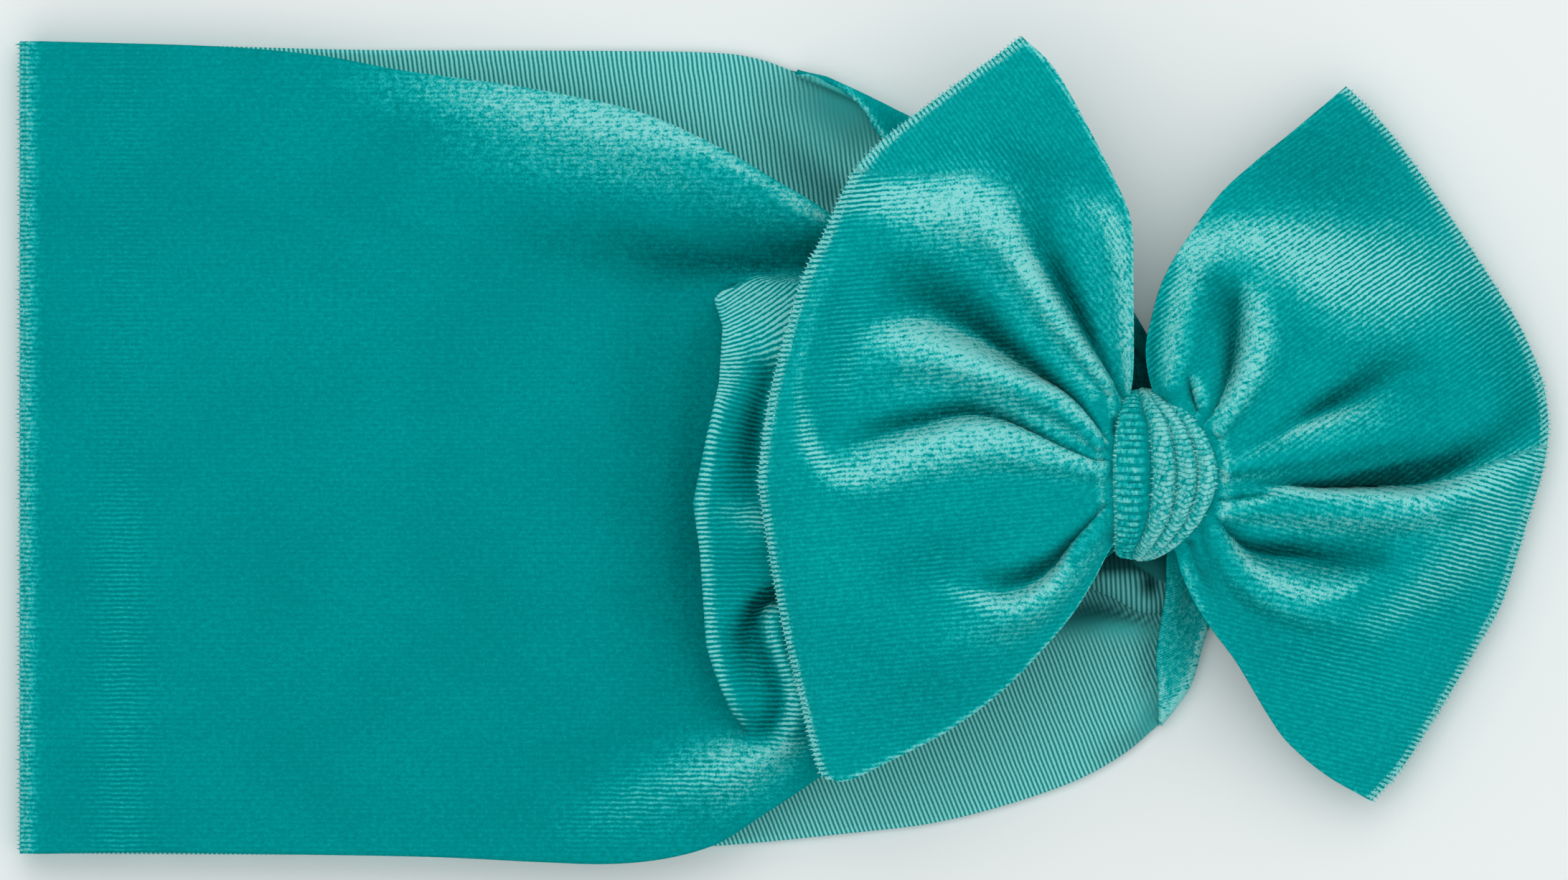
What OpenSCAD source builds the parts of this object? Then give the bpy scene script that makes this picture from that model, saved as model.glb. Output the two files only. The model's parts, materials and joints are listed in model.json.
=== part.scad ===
// Knotted headband: a wide band of stretch velvet closed in a loop and laid flat, with a two-loop bow
// held on it by a pleated wrap. +X runs from the nape fold to the bow, and the table is at Z 0.

/* [Fabric] */
// Thickness of the stretch velvet, pile included
fabric_t = 1.2; // [0.8:0.1:1.5]
// Thickness of the sewing thread
thread_d = 0.45; // [0.3:0.05:0.6]

/* [Band] */
// Length of the loop laid flat, from the nape fold to the middle of the knot
loop_l = 181.2; // [165:1:210]
// Width of the band strip
band_w = 128.4; // [110:1:140]
// Clear height left between the two layers for the head
loop_gap = 5.2; // [4.6:0.1:8]
// Height that the loose tuck in front of the bow stands above the front layer
tuck_h = 7.5; // [5:0.5:9]
// How far the tuck overhangs
tuck_reach = 9; // [6:0.5:11]
// Reach of the turned end past the middle of the knot
turn_reach = 12.5; // [11:0.5:16]

/* [Bow] */
// Reach of the left loop from the middle of the knot
left_loop_l = 64.1; // [56:1:72]
// Reach of the right loop from the middle of the knot
right_loop_l = 60.8; // [52:1:72]
// Width of the bow strip, tip to tip
bow_w = 118; // [100:1:130]
// Height of the puffed loops, lower layer to upper layer
loop_puff = 10; // [8:0.5:13]
// Height of the pleats that fan out from the knot
pleat_h = 1.8; // [1:0.2:2.6]
// Air left between the knot and a loop
loop_clearance = 0.3; // [0.2:0.05:0.6]

/* [Knot] */
// Widest place of the knot, along the band
knot_w = 16.4; // [14:0.2:19]
// Size of the knot across the band
knot_h = 26.9; // [24:0.2:32]
// Depth of the knot, from its underside to its top
knot_depth = 22.5; // [20:0.5:26]
// Thickness of the wrap, which is folded double
wrap_t = 2; // [1.6:0.1:2.4]
// Depth of the grooves between its pleats
groove_d = 0.7; // [0.3:0.1:0.9]
// Height of the knot's underside above the table
knot_lift = 2.4; // [2:0.1:4]
// Windings of thread round each gathered waist
windings = 3; // [1:1:4]

/* [Hidden] */

teal = "#008b8c";
light_teal = "#4bb0ae";
thread_teal = "#0a9a98";

seat = 0.2;                                      // air between pieces that lie against each other
knot = [59.94, -4.14, knot_lift + knot_depth / 2]; // the middle of the knot
nape_r = loop_gap / 2 + fabric_t;                // outer radius of the nape fold
nape_x = nape_r - loop_l;                        // the fold's axis, from the knot
front_z = loop_gap + fabric_t * 1.5;             // middle of the front layer's thickness
band_z = knot.z - knot_depth / 4;                // middle of the band where the knot holds it
bow_low = knot.z + fabric_t / 2 + seat;          // lower layer of the bow where it leaves the knot
bow_high = knot.z + knot_depth / 2 - wrap_t - fabric_t; // and its upper layer
tuck_clear = 0.8;                                // air between the tuck and the left loop, which lies on it
left_low = front_z + tuck_h + fabric_t + tuck_clear;
loop_sag = 2.5;                                  // how far the sides of the left loop hang lower
right_low = fabric_t;                            // the right loop lies on the table
turn_r = fabric_t * 1.8;                         // radius of a loop's underside where it turns over
root_clear = loop_clearance + fabric_t / 2;      // keeps the loops' own thickness off the knot
pleat_edges = [0, 0.38, 0.6, 0.82, 1];           // where the wrap's pleats meet, left to right
tuck_x = -67.5;                                  // where the tuck runs back, from the knot
tuck_step = 5;                                   // half the length that its turn takes
gather_h = 1.2;                                  // height of the gathers where the band meets the knot
slope_l = 40;                                    // length over which the front layer comes down from it

// Outlines are drawn from the middle of the knot at these sizes, and stretched with the real ones
drawn_left = 64.1;
drawn_right = 60.8;
drawn_bow_w = 118;
drawn_loop_l = 181.2;
drawn_band_w = 128.4;
drawn_turn = 12.5;

// Every edge runs outwards from the knot, and every fold from one edge to the other
left_fold = [[-22.6, 69.4], [-36, 60], [-49.6, 47.3], [-57.5, 31], [-62.5, 13], [-64, -3], [-61, -20],
             [-57.5, -36], [-53.3, -48.3]];
left_top = [[-6.6, 22], [-5.6, 35], [-8.5, 47.5], [-14, 58.5], [-22.6, 69.4]];
left_bottom = [[-16, -22], [-25.2, -33.7], [-34.3, -40.6], [-44, -46.5], [-53.3, -48.3]];
right_fold = [[33, -51.8], [41, -41], [49.5, -28], [56, -14.5], [60.2, 0], [60, 13.5], [54.3, 27.4],
              [46.5, 39.5], [38, 51.4], [29, 61.5]];
right_top = [[-1.8, 20], [0, 29.5], [6, 40], [14.6, 49], [22, 55.5], [29, 61.5]];
right_bottom = [[5, -20], [9.5, -27], [14.5, -34], [19.5, -42], [25.9, -47.6], [33, -51.8]];
front_top = [[-24, 19], [-40, 31.5], [-58, 44.6], [-78, 55.3], [-100, 61], [-125, 64.9], [-150, 67.6],
             [-177.4, 68.6]];
front_bottom = [[-24, -24], [-40, -36.5], [-58, -50], [-78, -60.6], [-100, -61.3], [-125, -60.3],
                [-150, -60], [-177.4, -59.8]];
back_top = [[-90, 66.9], [-120, 67.4], [-150, 67.9], [-177.4, 68.6]];
back_bottom = [[-40, -55.4], [-85, -59.4], [-130, -60], [-177.4, -59.8]];
turn_fold = [[-0.8, -40.2], [4.2, -33.5], [8.2, -25.5], [11, -17.5], [12.6, -9], [12, -1], [9.5, 6],
             [5, 12.5], [-3.7, 22.9], [-22, 42], [-42, 57], [-58, 65.2]];
turn_top = [[-14, 23.5], [-25, 33.5], [-35.5, 43.5], [-46, 54.5], [-58, 65.2]];
turn_bottom = [[0.2, -18], [-1, -25], [-1.2, -32], [-0.8, -40.2]];

function lerp(a, b, t) = a + (b - a) * t;
function unit(t) = min(1, max(0, t));
function ease(t) = let (c = unit(t)) c * c * (3 - 2 * c);
function last(p) = p[len(p) - 1];
function sized(p, kx, ky) = [for (q = p) [q.x * kx, q.y * ky]];

// A smooth curve through the points p, for t from 0 to 1
function curve(p, t) =
    let (n = len(p) - 1, s = unit(t) * n, i = min(n - 1, floor(s)), f = s - i,
         a = i > 0 ? p[i - 1] : 2 * p[0] - p[1], b = p[i],
         c = p[i + 1], d = i < n - 1 ? p[i + 2] : 2 * p[n] - p[n - 1])
    0.5 * (2 * b + (c - a) * f + (2 * a - 5 * b + 4 * c - d) * f * f + (3 * b - a - 3 * c + d) * f * f * f);

// A place in the cloth between four edges: u runs from the root to the fold, v from side to side
function patch(root, fold, side_a, side_b, u, v) =
    lerp(curve(root, v), curve(fold, v), u) + lerp(curve(side_a, u), curve(side_b, u), v)
    - lerp(lerp(root[0], last(root), v), lerp(fold[0], last(fold), v), u);
function from_root(corner, p) = concat([corner], p);
function placed(p, z) = [knot.x + p.x, knot.y + p.y, z];

function normal_at(g, i, j) =
    let (n = len(g) - 1, m = len(g[0]) - 1,
         c = cross(g[min(n, i + 1)][j] - g[max(0, i - 1)][j], g[i][min(m, j + 1)] - g[i][max(0, j - 1)]))
    c / norm(c);

// A closed skin over two grids of points; its rows can run round, and so can each row's own points
module skin(over, under, round = false) {
    n = len(over);
    m = len(over[0]);
    half = n * m;
    rows = round ? n : n - 1;
    quads = concat(
        [for (i = [0:rows - 1]) for (j = [0:m - 2])
            let (a = i * m + j, b = (i + 1) % n * m + j) [a, b, b + 1, a + 1]],
        [for (i = [0:rows - 1]) for (j = [0:m - 2])
            let (a = i * m + j + half, b = (i + 1) % n * m + j + half) [a, a + 1, b + 1, b]],
        [for (i = [0:rows - 1]) for (e = [0, 1])
            let (a = i * m + e * (m - 1), b = (i + 1) % n * m + e * (m - 1))
            e == 0 ? [a, a + half, b + half, b] : [a, b, b + half, a + half]],
        round ? [] : [for (j = [0:m - 2]) for (e = [0, 1])
            let (a = e * (n - 1) * m + j)
            e == 0 ? [a, a + 1, a + 1 + half, a + half] : [a, a + half, a + 1 + half, a + 1]]);
    polyhedron(concat([for (r = over) each r], [for (r = under) each r]),
               [for (q = quads) each [[q[0], q[1], q[2]], [q[0], q[2], q[3]]]], convexity = 6);
}

// Cloth of one thickness either side of a grid of points
module cloth(g) {
    offsets = [for (i = [0:len(g) - 1]) [for (j = [0:len(g[0]) - 1]) normal_at(g, i, j) * fabric_t / 2]];
    skin(g - offsets, g + offsets);
}

// A thread along a closed path at x, bent to the profile that is given as [y, z] points
module thread_loop(x, profile) {
    n = len(profile);
    ends = [for (i = [0:n - 1])
        let (t = profile[(i + 1) % n] - profile[(i + n - 1) % n], out = [t.y, -t.x] / norm(t))
        [for (b = [0:60:300])
            [x + sin(b) * thread_d / 2, profile[i].x + out.x * cos(b) * thread_d / 2,
             profile[i].y + out.y * cos(b) * thread_d / 2]]];
    polyhedron([for (r = ends) each r],
               [for (i = [0:n - 1]) for (k = [0:5])
                   let (a = i * 6 + k, b = i * 6 + (k + 1) % 6,
                        c = (i + 1) % n * 6 + (k + 1) % 6, d = (i + 1) % n * 6 + k)
                   each [[a, b, c], [a, c, d]]], convexity = 4);
}

// How far the knot reaches to each side at the angle a, which is 0 at its top edge and 180 at its bottom
function knot_left(a) = -knot_w * (0.3 + 0.2 * pow(abs(sin(a)), 0.8));
function knot_right(a) = knot_w * (0.65 * pow(abs(sin(a)), 1.4) - 0.15);

// Where cloth comes out of the knot: at its left side, and round its bowed right side
left_root = [for (a = [15:22.5:150]) [knot_left(a) - root_clear, (knot_h / 2 + loop_clearance) * cos(a)]];
right_root = [for (a = [152:-12.4:28]) [knot_right(a) + root_clear, (knot_h / 2 + loop_clearance) * cos(a)]];
turn_root = concat([for (a = [150:-15:0])
                       [knot_right(a) + root_clear, (knot_h / 2 + loop_clearance) * cos(a)]],
                   [[knot_left(0), knot_h / 2 + root_clear]]);

// Share of its height that a layer keeps at u: it rounds off to 0 where the cloth turns over, at 1
function rounded(u, power) = sqrt(max(0, 1 - pow(u, power)));
// The gathers, which start at the knot and are gone at the fold
function pleats(u, v, count) = sin(180 * pow(unit(u), 0.75)) * cos(360 * count * v);
// A rise over the middle of the strip, which falls away over a share of it at each side
function plateau(v, share) = ease(v / share) * ease((1 - v) / share);

// One loop of the bow: out from the knot over the top, round the fold and back underneath
module loop(root, fold, side_a, side_b, low, side_low) {
    out = 11;
    across = 26;
    cloth([for (i = [0:2 * out]) [for (j = [0:across])
        let (v = j / across, u = sin(90 * (i < out ? i / out : 2 - i / out)),
             under = lerp(bow_low, lerp(side_low, low, plateau(v, 0.16)), ease(u)),
             puff = lerp(bow_high - bow_low, loop_puff, ease(u * 1.5)) - turn_r)
        placed(patch(root, fold, from_root(root[0], side_a), from_root(last(root), side_b), u, v),
               under + turn_r + (i < out ? puff * rounded(u, 6) + pleat_h * pleats(u, v, 4)
                                         : -turn_r * rounded(u, 24)))]]);
}

module bow_left_loop() {
    kx = left_loop_l / drawn_left;
    ky = bow_w / drawn_bow_w;
    color(teal) loop(left_root, sized(left_fold, kx, ky), sized(left_top, kx, ky),
                     sized(left_bottom, kx, ky), left_low, left_low - loop_sag);
}

module bow_right_loop() {
    kx = right_loop_l / drawn_right;
    ky = bow_w / drawn_bow_w;
    color(teal) loop(right_root, sized(right_fold, kx, ky), sized(right_bottom, kx, ky),
                     sized(right_top, kx, ky), right_low, right_low + fabric_t);
}

// The tuck: round q 0 the front layer runs back on itself and climbs, so that it overhangs
function tuck_back(q) = -(tuck_reach + tuck_step) / 0.8 * q * exp(-q * q);
function tuck_rise(q) = 1 / (1 + exp(-3.2 * q));

module band_front_layer() {
    kx = loop_l / drawn_loop_l;
    ky = band_w / drawn_band_w;
    top = from_root(left_root[0], sized(front_top, kx, ky));
    bottom = from_root(last(left_root), sized(front_bottom, kx, ky));
    fold = [last(top), last(bottom)];
    rows = concat([for (k = [0:6]) 0.33 * k / 6], [for (k = [1:16]) lerp(0.33, 0.54, k / 16)],
                  [for (k = [1:7]) lerp(0.54, 1, k / 7)]);
    across = 26;
    color(teal) cloth([for (u = rows) [for (j = [0:across])
        let (v = j / across, p = patch(left_root, fold, top, bottom, u, v),
             q = (p.x / kx - tuck_x) / tuck_step, here = plateau((v - 0.12) / 0.78, 0.26),
             from_knot = ease((left_root[0].x - p.x) / slope_l))
        placed([p.x + here * here * tuck_back(q), p.y],
               lerp(band_z, front_z, from_knot) + here * tuck_h * tuck_rise(q) * from_knot
               + gather_h * pleats(u * 2.5, v, 3) * (1 - from_knot))]]);
}

// The band's right end, turned over so that the velvet shows, from the knot out to its fold
module band_turned_end() {
    kx = turn_reach / drawn_turn;
    ky = band_w / drawn_band_w;
    first = from_root(turn_root[0], sized(turn_bottom, kx, ky));
    second = from_root(last(turn_root), sized(turn_top, kx, ky));
    out = 7;
    across = 26;
    color(teal) cloth([for (i = [0:out]) [for (j = [0:across])
        let (u = i / out, v = j / across)
        placed(patch(turn_root, sized(turn_fold, kx, ky), first, second, u, v),
               lerp(band_z, fabric_t * 1.5 + seat, u) + gather_h * pleats(u, v, 3) * (1 - u))]]);
}

// The layer that lies on the table, inside of the loop up, as far as the fold of the turned end
module band_back_layer() {
    kx = loop_l / drawn_loop_l;
    ky = band_w / drawn_band_w;
    kt = turn_reach / drawn_turn;
    fold = sized(turn_fold, kt, ky);
    top = from_root(last(fold), sized(back_top, kx, ky));
    bottom = from_root(fold[0], sized(back_bottom, kx, ky));
    rows = 12;
    across = 22;
    color(light_teal) cloth([for (i = [0:rows]) [for (j = [0:across])
        placed(patch(fold, [last(bottom), last(top)], bottom, top, i / rows, j / across), fabric_t / 2)]]);
}

// The fold at the back of the head, half a round turn between the two layers
module band_nape_fold() {
    ky = band_w / drawn_band_w;
    color(teal)
    translate([knot.x + nape_x, knot.y + last(front_bottom).y * ky, nape_r])
    rotate([90, 0, 180])
    mirror([1, 0, 0])
    linear_extrude((last(front_top).y - last(front_bottom).y) * ky)
    difference() {
        circle(nape_r, $fn = 64);
        circle(nape_r - fabric_t, $fn = 64);
        translate([0, -nape_r]) square([nape_r, nape_r * 2]);
    }
}

// Half of what the wrap holds, cut level through the knot's middle: its outline in from the wrap by
// inset, as [y, z] points round from one side; up is 1 for the bow's half and -1 for the band's
function held(inset, up, steps = 14) =
    let (ry = knot_h / 2 - wrap_t - inset, rz = knot_depth / 2 - wrap_t - inset)
    [for (k = [0:steps])
        let (a = lerp(4, 176, k / steps))
        [knot.y + ry * cos(a), knot.z + up * max(rz * sin(a), seat / 2 + inset)]];

// A gathered waist, pinched where its threads go round; its right end follows the knot's bowed side
module waist(up) {
    pinch = thread_d + seat;
    stations = [[0, seat], [0.24, seat], [0.3, pinch + seat], [0.78, pinch + seat], [0.84, seat], [1, seat]];
    rings = [for (s = stations)
        [for (p = held(s[1], up))
            let (a = acos(unit(abs(p.x - knot.y) / (knot_h / 2))))
            [knot.x + lerp(knot_left(a), knot_right(a), s[0]), p.x, p.y]]];
    m = len(rings[0]);
    n = len(rings);
    polyhedron(up < 0 ? [for (r = rings) each r] : [for (r = rings) for (k = [m - 1:-1:0]) r[k]],
               concat([for (i = [0:n - 2]) for (k = [0:m - 1])
                          let (a = i * m + k, b = i * m + (k + 1) % m,
                               c = (i + 1) * m + (k + 1) % m, d = (i + 1) * m + k)
                          each [[a, b, c], [a, c, d]]],
                      [for (k = [1:m - 2]) each [[0, k + 1, k],
                                                 [(n - 1) * m, (n - 1) * m + k, (n - 1) * m + k + 1]]]),
               convexity = 4);
}

module windings_round(up) {
    pitch = thread_d * 1.3;
    for (k = [0:windings - 1])
        thread_loop(knot.x - knot_w * 0.2 + k * pitch, held_closed(seat + thread_d / 2, up));
}

// The same half outline as a closed path, with points along its level side too
function held_closed(inset, up) =
    let (arc = held(inset, up, 16), level = [for (t = [0.25:0.25:0.75]) lerp(last(arc), arc[0], t)],
         path = concat(arc, level))
    up > 0 ? path : [for (k = [len(path) - 1:-1:0]) path[k]];

module band_waist() { color(teal) waist(-1); }
module bow_waist() { color(teal) waist(1); }
module band_gather_thread() { color(thread_teal) windings_round(-1); }
module bow_gather_thread() { color(thread_teal) windings_round(1); }

// The seam that closes the band into a loop, hidden in the knot: a row of stitches across it
module band_seam_stitches() {
    stitches = 9;
    stitch_l = knot_w * 0.16;
    for (k = [0:stitches - 1]) {
        a = lerp(50, 130, k / (stitches - 1));
        color(thread_teal)
        translate([knot.x + knot_w * 0.02, knot.y + (knot_h / 2 - wrap_t - seat - thread_d / 2) * cos(a),
                   knot.z - (knot_depth / 2 - wrap_t - seat - thread_d / 2) * sin(a)])
        rotate([0, 90, 0]) cylinder(h = stitch_l, d = thread_d, $fn = 24);
    }
}

// The wrap: a strip folded double, scrunched into pleats and closed under the bow
function pleat_depth(w) =
    let (k = max([for (i = [0:len(pleat_edges) - 2]) if (w >= pleat_edges[i]) i]),
         t = (w - pleat_edges[k]) / (pleat_edges[k + 1] - pleat_edges[k]))
    groove_d * (1 - pow(sin(180 * unit(t)), 0.7));
function knot_point(a, w, inset) =
    [knot.x + lerp(knot_left(a), knot_right(a), w), knot.y + (knot_h / 2 - inset) * cos(a),
     knot.z + (knot_depth / 2 - inset) * sin(a)];

module knot_wrap() {
    around = 40;
    stations = [for (k = [0:len(pleat_edges) - 2]) for (t = k == 0 ? [0:0.25:1] : [0.25:0.25:1])
        lerp(pleat_edges[k], pleat_edges[k + 1], t)];
    angles = [for (i = [around:-1:1]) 360 * i / around];
    color(teal) skin([for (a = angles) [for (w = stations) knot_point(a, w, pleat_depth(w))]],
                     [for (a = angles) [for (w = stations) knot_point(a, w, wrap_t)]], round = true);
}

// Hand stitches that close the wrap on its underside
module knot_closing_stitches() {
    stitches = 4;
    stitch_l = knot_h * 0.14;
    for (k = [0:stitches - 1])
        color(thread_teal)
        translate([knot.x + lerp(-knot_w * 0.34, knot_w * 0.34, k / (stitches - 1)),
                   knot.y + stitch_l / 2, knot_lift - thread_d / 2 - seat / 2])
        rotate([90, 0, 0]) cylinder(h = stitch_l, d = thread_d, $fn = 24);
}

band_front_layer();
band_back_layer();
band_nape_fold();
band_turned_end();
band_waist();
band_gather_thread();
band_seam_stitches();
bow_left_loop();
bow_right_loop();
bow_waist();
bow_gather_thread();
knot_wrap();
knot_closing_stitches();
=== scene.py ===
import bpy
import json
import math
import numpy as np
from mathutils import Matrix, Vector
from mathutils.bvhtree import BVHTree

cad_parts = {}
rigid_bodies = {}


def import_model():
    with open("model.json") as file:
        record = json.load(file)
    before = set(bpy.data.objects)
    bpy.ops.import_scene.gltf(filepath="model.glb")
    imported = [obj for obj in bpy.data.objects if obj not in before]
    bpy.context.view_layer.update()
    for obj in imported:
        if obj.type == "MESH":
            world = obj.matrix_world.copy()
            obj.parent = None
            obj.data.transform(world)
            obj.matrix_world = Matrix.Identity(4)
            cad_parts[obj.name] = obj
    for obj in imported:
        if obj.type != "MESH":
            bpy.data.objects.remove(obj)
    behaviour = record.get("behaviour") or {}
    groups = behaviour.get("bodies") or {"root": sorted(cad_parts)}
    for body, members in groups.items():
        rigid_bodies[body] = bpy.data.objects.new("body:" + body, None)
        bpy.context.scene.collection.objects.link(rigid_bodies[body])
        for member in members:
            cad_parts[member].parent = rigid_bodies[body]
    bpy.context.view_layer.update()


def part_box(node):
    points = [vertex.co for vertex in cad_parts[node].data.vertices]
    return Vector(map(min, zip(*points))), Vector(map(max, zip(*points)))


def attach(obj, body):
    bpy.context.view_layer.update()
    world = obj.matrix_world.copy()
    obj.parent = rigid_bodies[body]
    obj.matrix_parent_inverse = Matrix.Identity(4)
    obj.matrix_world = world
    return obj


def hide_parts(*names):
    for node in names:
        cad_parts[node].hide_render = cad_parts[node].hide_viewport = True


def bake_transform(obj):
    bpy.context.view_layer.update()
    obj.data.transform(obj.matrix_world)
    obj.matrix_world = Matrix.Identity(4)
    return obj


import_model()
mm = 0.001

# The photograph's frame, scaled to a long side of 1568, and the places read from it
photo = {"width": 1568, "height": 880}
imagePoints = {
    "bandLeft": (20.1, 450.0),
    "bandTopLeft": (20.1, 40.9),
    "bandBottomLeft": (19.4, 853.3),
    "bandBottom": (600.0, 863.3),
    "poufLeft": (696.1, 502.3),
    "leftTip": (1021.2, 35.9),
    "leftLowerCorner": (825.3, 779.3),
    "leftWidest": (758.6, 465.0),
    "rightUpperTip": (1347.0, 86.1),
    "rightLowerTip": (1372.1, 801.6),
    "rightWidest": (1547.9, 430.0),
    "knotMiddle": (1163.8, 474.2),
    "flapTip": (1159.0, 728.4),
    "tongueMiddle": (1128.0, 583.0),
}

view = {"distance": 6.0, "middleX": -0.0002, "middleY": 0.0013, "widthSeen": 0.2483, "sensor": 36.0}


def setCamera():
    data = bpy.data.cameras.new("photoCamera")
    data.sensor_fit = "AUTO"
    data.sensor_width = view["sensor"]
    data.lens = view["sensor"] * view["distance"] / view["widthSeen"]
    data.clip_end = 20
    camera = bpy.data.objects.new("photoCamera", data)
    camera.location = (view["middleX"], view["middleY"], view["distance"])
    bpy.context.scene.collection.objects.link(camera)
    bpy.context.scene.camera = camera
    return camera


camera = setCamera()
print("camera set")


# Cloth helpers: all outlines are in millimetres from the middle of the knot

knotLow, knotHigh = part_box("knot_wrap")
knot = {"x": (knotLow[0] + knotHigh[0]) / 2 / mm, "y": (knotLow[1] + knotHigh[1]) / 2 / mm,
        "z": (knotLow[2] + knotHigh[2]) / 2 / mm}
knot["w"] = (knotHigh[0] - knotLow[0]) / mm
knot["h"] = (knotHigh[1] - knotLow[1]) / mm
knot["depth"] = (knotHigh[2] - knotLow[2]) / mm


def mix(a, b, t):
    return a + (b - a) * t


def ease(t):
    c = np.clip(t, 0, 1)
    return c * c * (3 - 2 * c)


# 1 between two ends, each given as its place and the length over which it fades inwards
def between(value, low, high):
    return ease((value - low[0]) / low[1]) * ease((high[0] - value) / high[1])


def bell(value, middle, wide):
    return np.exp(-((value - middle) / wide) ** 2)


# Shares from the root to the rim, closer together where the cloth turns at the rim
def sharesToRim(rows, rimRows, rimShare):
    rim = 1 - rimShare * (1 - np.sin(np.linspace(0, math.pi / 2, rimRows)))
    return np.concatenate([np.linspace(0, 1 - rimShare, rows, endpoint=False), rim])


def alongCurve(points, share):
    p = np.array(points, float)
    n = len(p) - 1
    s = np.clip(np.asarray(share, float), 0, 1) * n
    i = np.minimum(n - 1, np.floor(s).astype(int))
    f = (s - i)[..., None]
    q = np.vstack([2 * p[0] - p[1], p, 2 * p[-1] - p[-2]])
    a, b, c, d = q[i], q[i + 1], q[i + 2], q[i + 3]
    bend = 2 * a - 5 * b + 4 * c - d
    twist = 3 * b - a - 3 * c + d
    return 0.5 * (2 * b + (c - a) * f + bend * f * f + twist * f ** 3)


def lengthSoFar(line):
    steps = np.linalg.norm(np.diff(line, axis=0), axis=1)
    return np.concatenate([[0], np.cumsum(steps)])


def placesAt(at, run, line):
    return np.stack([np.interp(at, run, line[:, k]) for k in range(line.shape[1])], axis=-1)


# The same curve, with its points spread evenly by length
def evenCurve(points, share):
    fine = alongCurve(points, np.linspace(0, 1, 60 * len(points)))
    run = lengthSoFar(fine)
    return placesAt(np.asarray(share, float) * run[-1], run, fine)


# Cloth between four edges: u runs from the root to the fold, v from side to side
def clothPatch(root, fold, sideA, sideB, us, vs):
    r = evenCurve(root, vs)
    f = evenCurve(fold, vs)
    a = evenCurve(sideA, us)
    b = evenCurve(sideB, us)
    u = us[:, None, None]
    v = vs[None, :, None]
    sides = (1 - u) * r[None] + u * f[None] + (1 - v) * a[:, None] + v * b[:, None]
    corners = (1 - u) * ((1 - v) * r[0] + v * r[-1]) + u * ((1 - v) * f[0] + v * f[-1])
    return sides - corners


# How much a ridge or a groove drawn along a path adds at each place
def foldAlong(places, path, rise, wide, sharp=1.0):
    share = np.linspace(0, 1, 10 * len(path))
    line = alongCurve(path, share)
    heights = alongCurve([[r] for r in rise], share)[:, 0]
    widths = alongCurve([[w] for w in wide], share)[:, 0]
    flat = places.reshape(-1, 2)
    best = np.full(len(flat), 1e9)
    part = np.zeros(len(flat))
    side = np.zeros(len(flat))
    for k in range(len(line) - 1):
        a = line[k]
        d = line[k + 1] - a
        t = np.clip(((flat - a) @ d) / max(d @ d, 1e-9), 0, 1)
        off = flat - a - t[:, None] * d
        gap = np.einsum("ij,ij->i", off, off)
        near = gap < best
        best = np.where(near, gap, best)
        part = np.where(near, k + t, part)
        side = np.where(near, d[0] * off[:, 1] - d[1] * off[:, 0], side)
    at = part / (len(line) - 1)
    height = np.interp(at, share, heights)
    width = np.interp(at, share, widths) * np.where(side > 0, sharp, 1.0)
    return (height * np.exp(-best / width ** 2)).reshape(places.shape[:2])


def foldsTogether(places, folds):
    total = np.zeros(places.shape[:2])
    for fold in folds:
        total = total + foldAlong(places, *fold)
    return total


def gridNormals(grid):
    du = np.gradient(grid, axis=0)
    dv = np.gradient(grid, axis=1)
    n = np.cross(du, dv)
    return n / np.maximum(np.linalg.norm(n, axis=-1, keepdims=True), 1e-12)


def blurred(values, times):
    v = values.copy()
    for _ in range(times):
        v[1:-1] = (v[:-2] + v[1:-1] * 2 + v[2:]) / 4
        v[:, 1:-1] = (v[:, :-2] + v[:, 1:-1] * 2 + v[:, 2:]) / 4
    return v


def pickOnly(piece):
    bpy.ops.object.select_all(action="DESELECT")
    bpy.context.view_layer.objects.active = piece
    piece.select_set(True)


def editAll(piece, change):
    pickOnly(piece)
    bpy.ops.object.mode_set(mode="EDIT")
    bpy.ops.mesh.select_all(action="SELECT")
    change()
    bpy.ops.object.mode_set(mode="OBJECT")


# Whether the grid's face beside one of its points looks up, as the grid is numbered
def facesUp(grid, row, column):
    ahead = grid[row + 1, column] - grid[row, column]
    beside = grid[row, column + 1] - grid[row, column]
    return np.cross(ahead, beside)[2] >= 0


def upright(normals, row, column):
    return -normals if normals[row, column, 2] < 0 else normals


# Makes a sheet from a grid of points in millimetres, with its thickness and its two finishes
def sheetFromGrid(name, grid, marks, thick, face, reverse, flip=False):
    rows, across = grid.shape[:2]
    verts = (grid.reshape(-1, 3) * mm).tolist()
    quads = []
    for i in range(rows - 1):
        for j in range(across - 1):
            a = i * across + j
            quad = (a, a + 1, a + 1 + across, a + across)
            quads.append(quad[::-1] if flip else quad)
    mesh = bpy.data.meshes.new(name)
    mesh.from_pydata(verts, [], quads)
    rest = mesh.attributes.new("restPlace", "FLOAT_VECTOR", "POINT")
    rest.data.foreach_set("vector", grid.reshape(-1).astype(np.float32))
    for key, values in marks.items():
        layer = mesh.attributes.new(key, "FLOAT", "POINT")
        layer.data.foreach_set("value", values.reshape(-1).astype(np.float32))
    mesh.materials.append(face)
    mesh.materials.append(reverse)
    piece = bpy.data.objects.new(name, mesh)
    bpy.context.scene.collection.objects.link(piece)
    solid = piece.modifiers.new("thickness", "SOLIDIFY")
    solid.thickness = thick * mm
    solid.offset = 0
    solid.material_offset = 1
    solid.material_offset_rim = 0
    pickOnly(piece)
    bpy.ops.object.modifier_apply(modifier=solid.name)
    bpy.ops.object.shade_smooth()
    return piece


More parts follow.
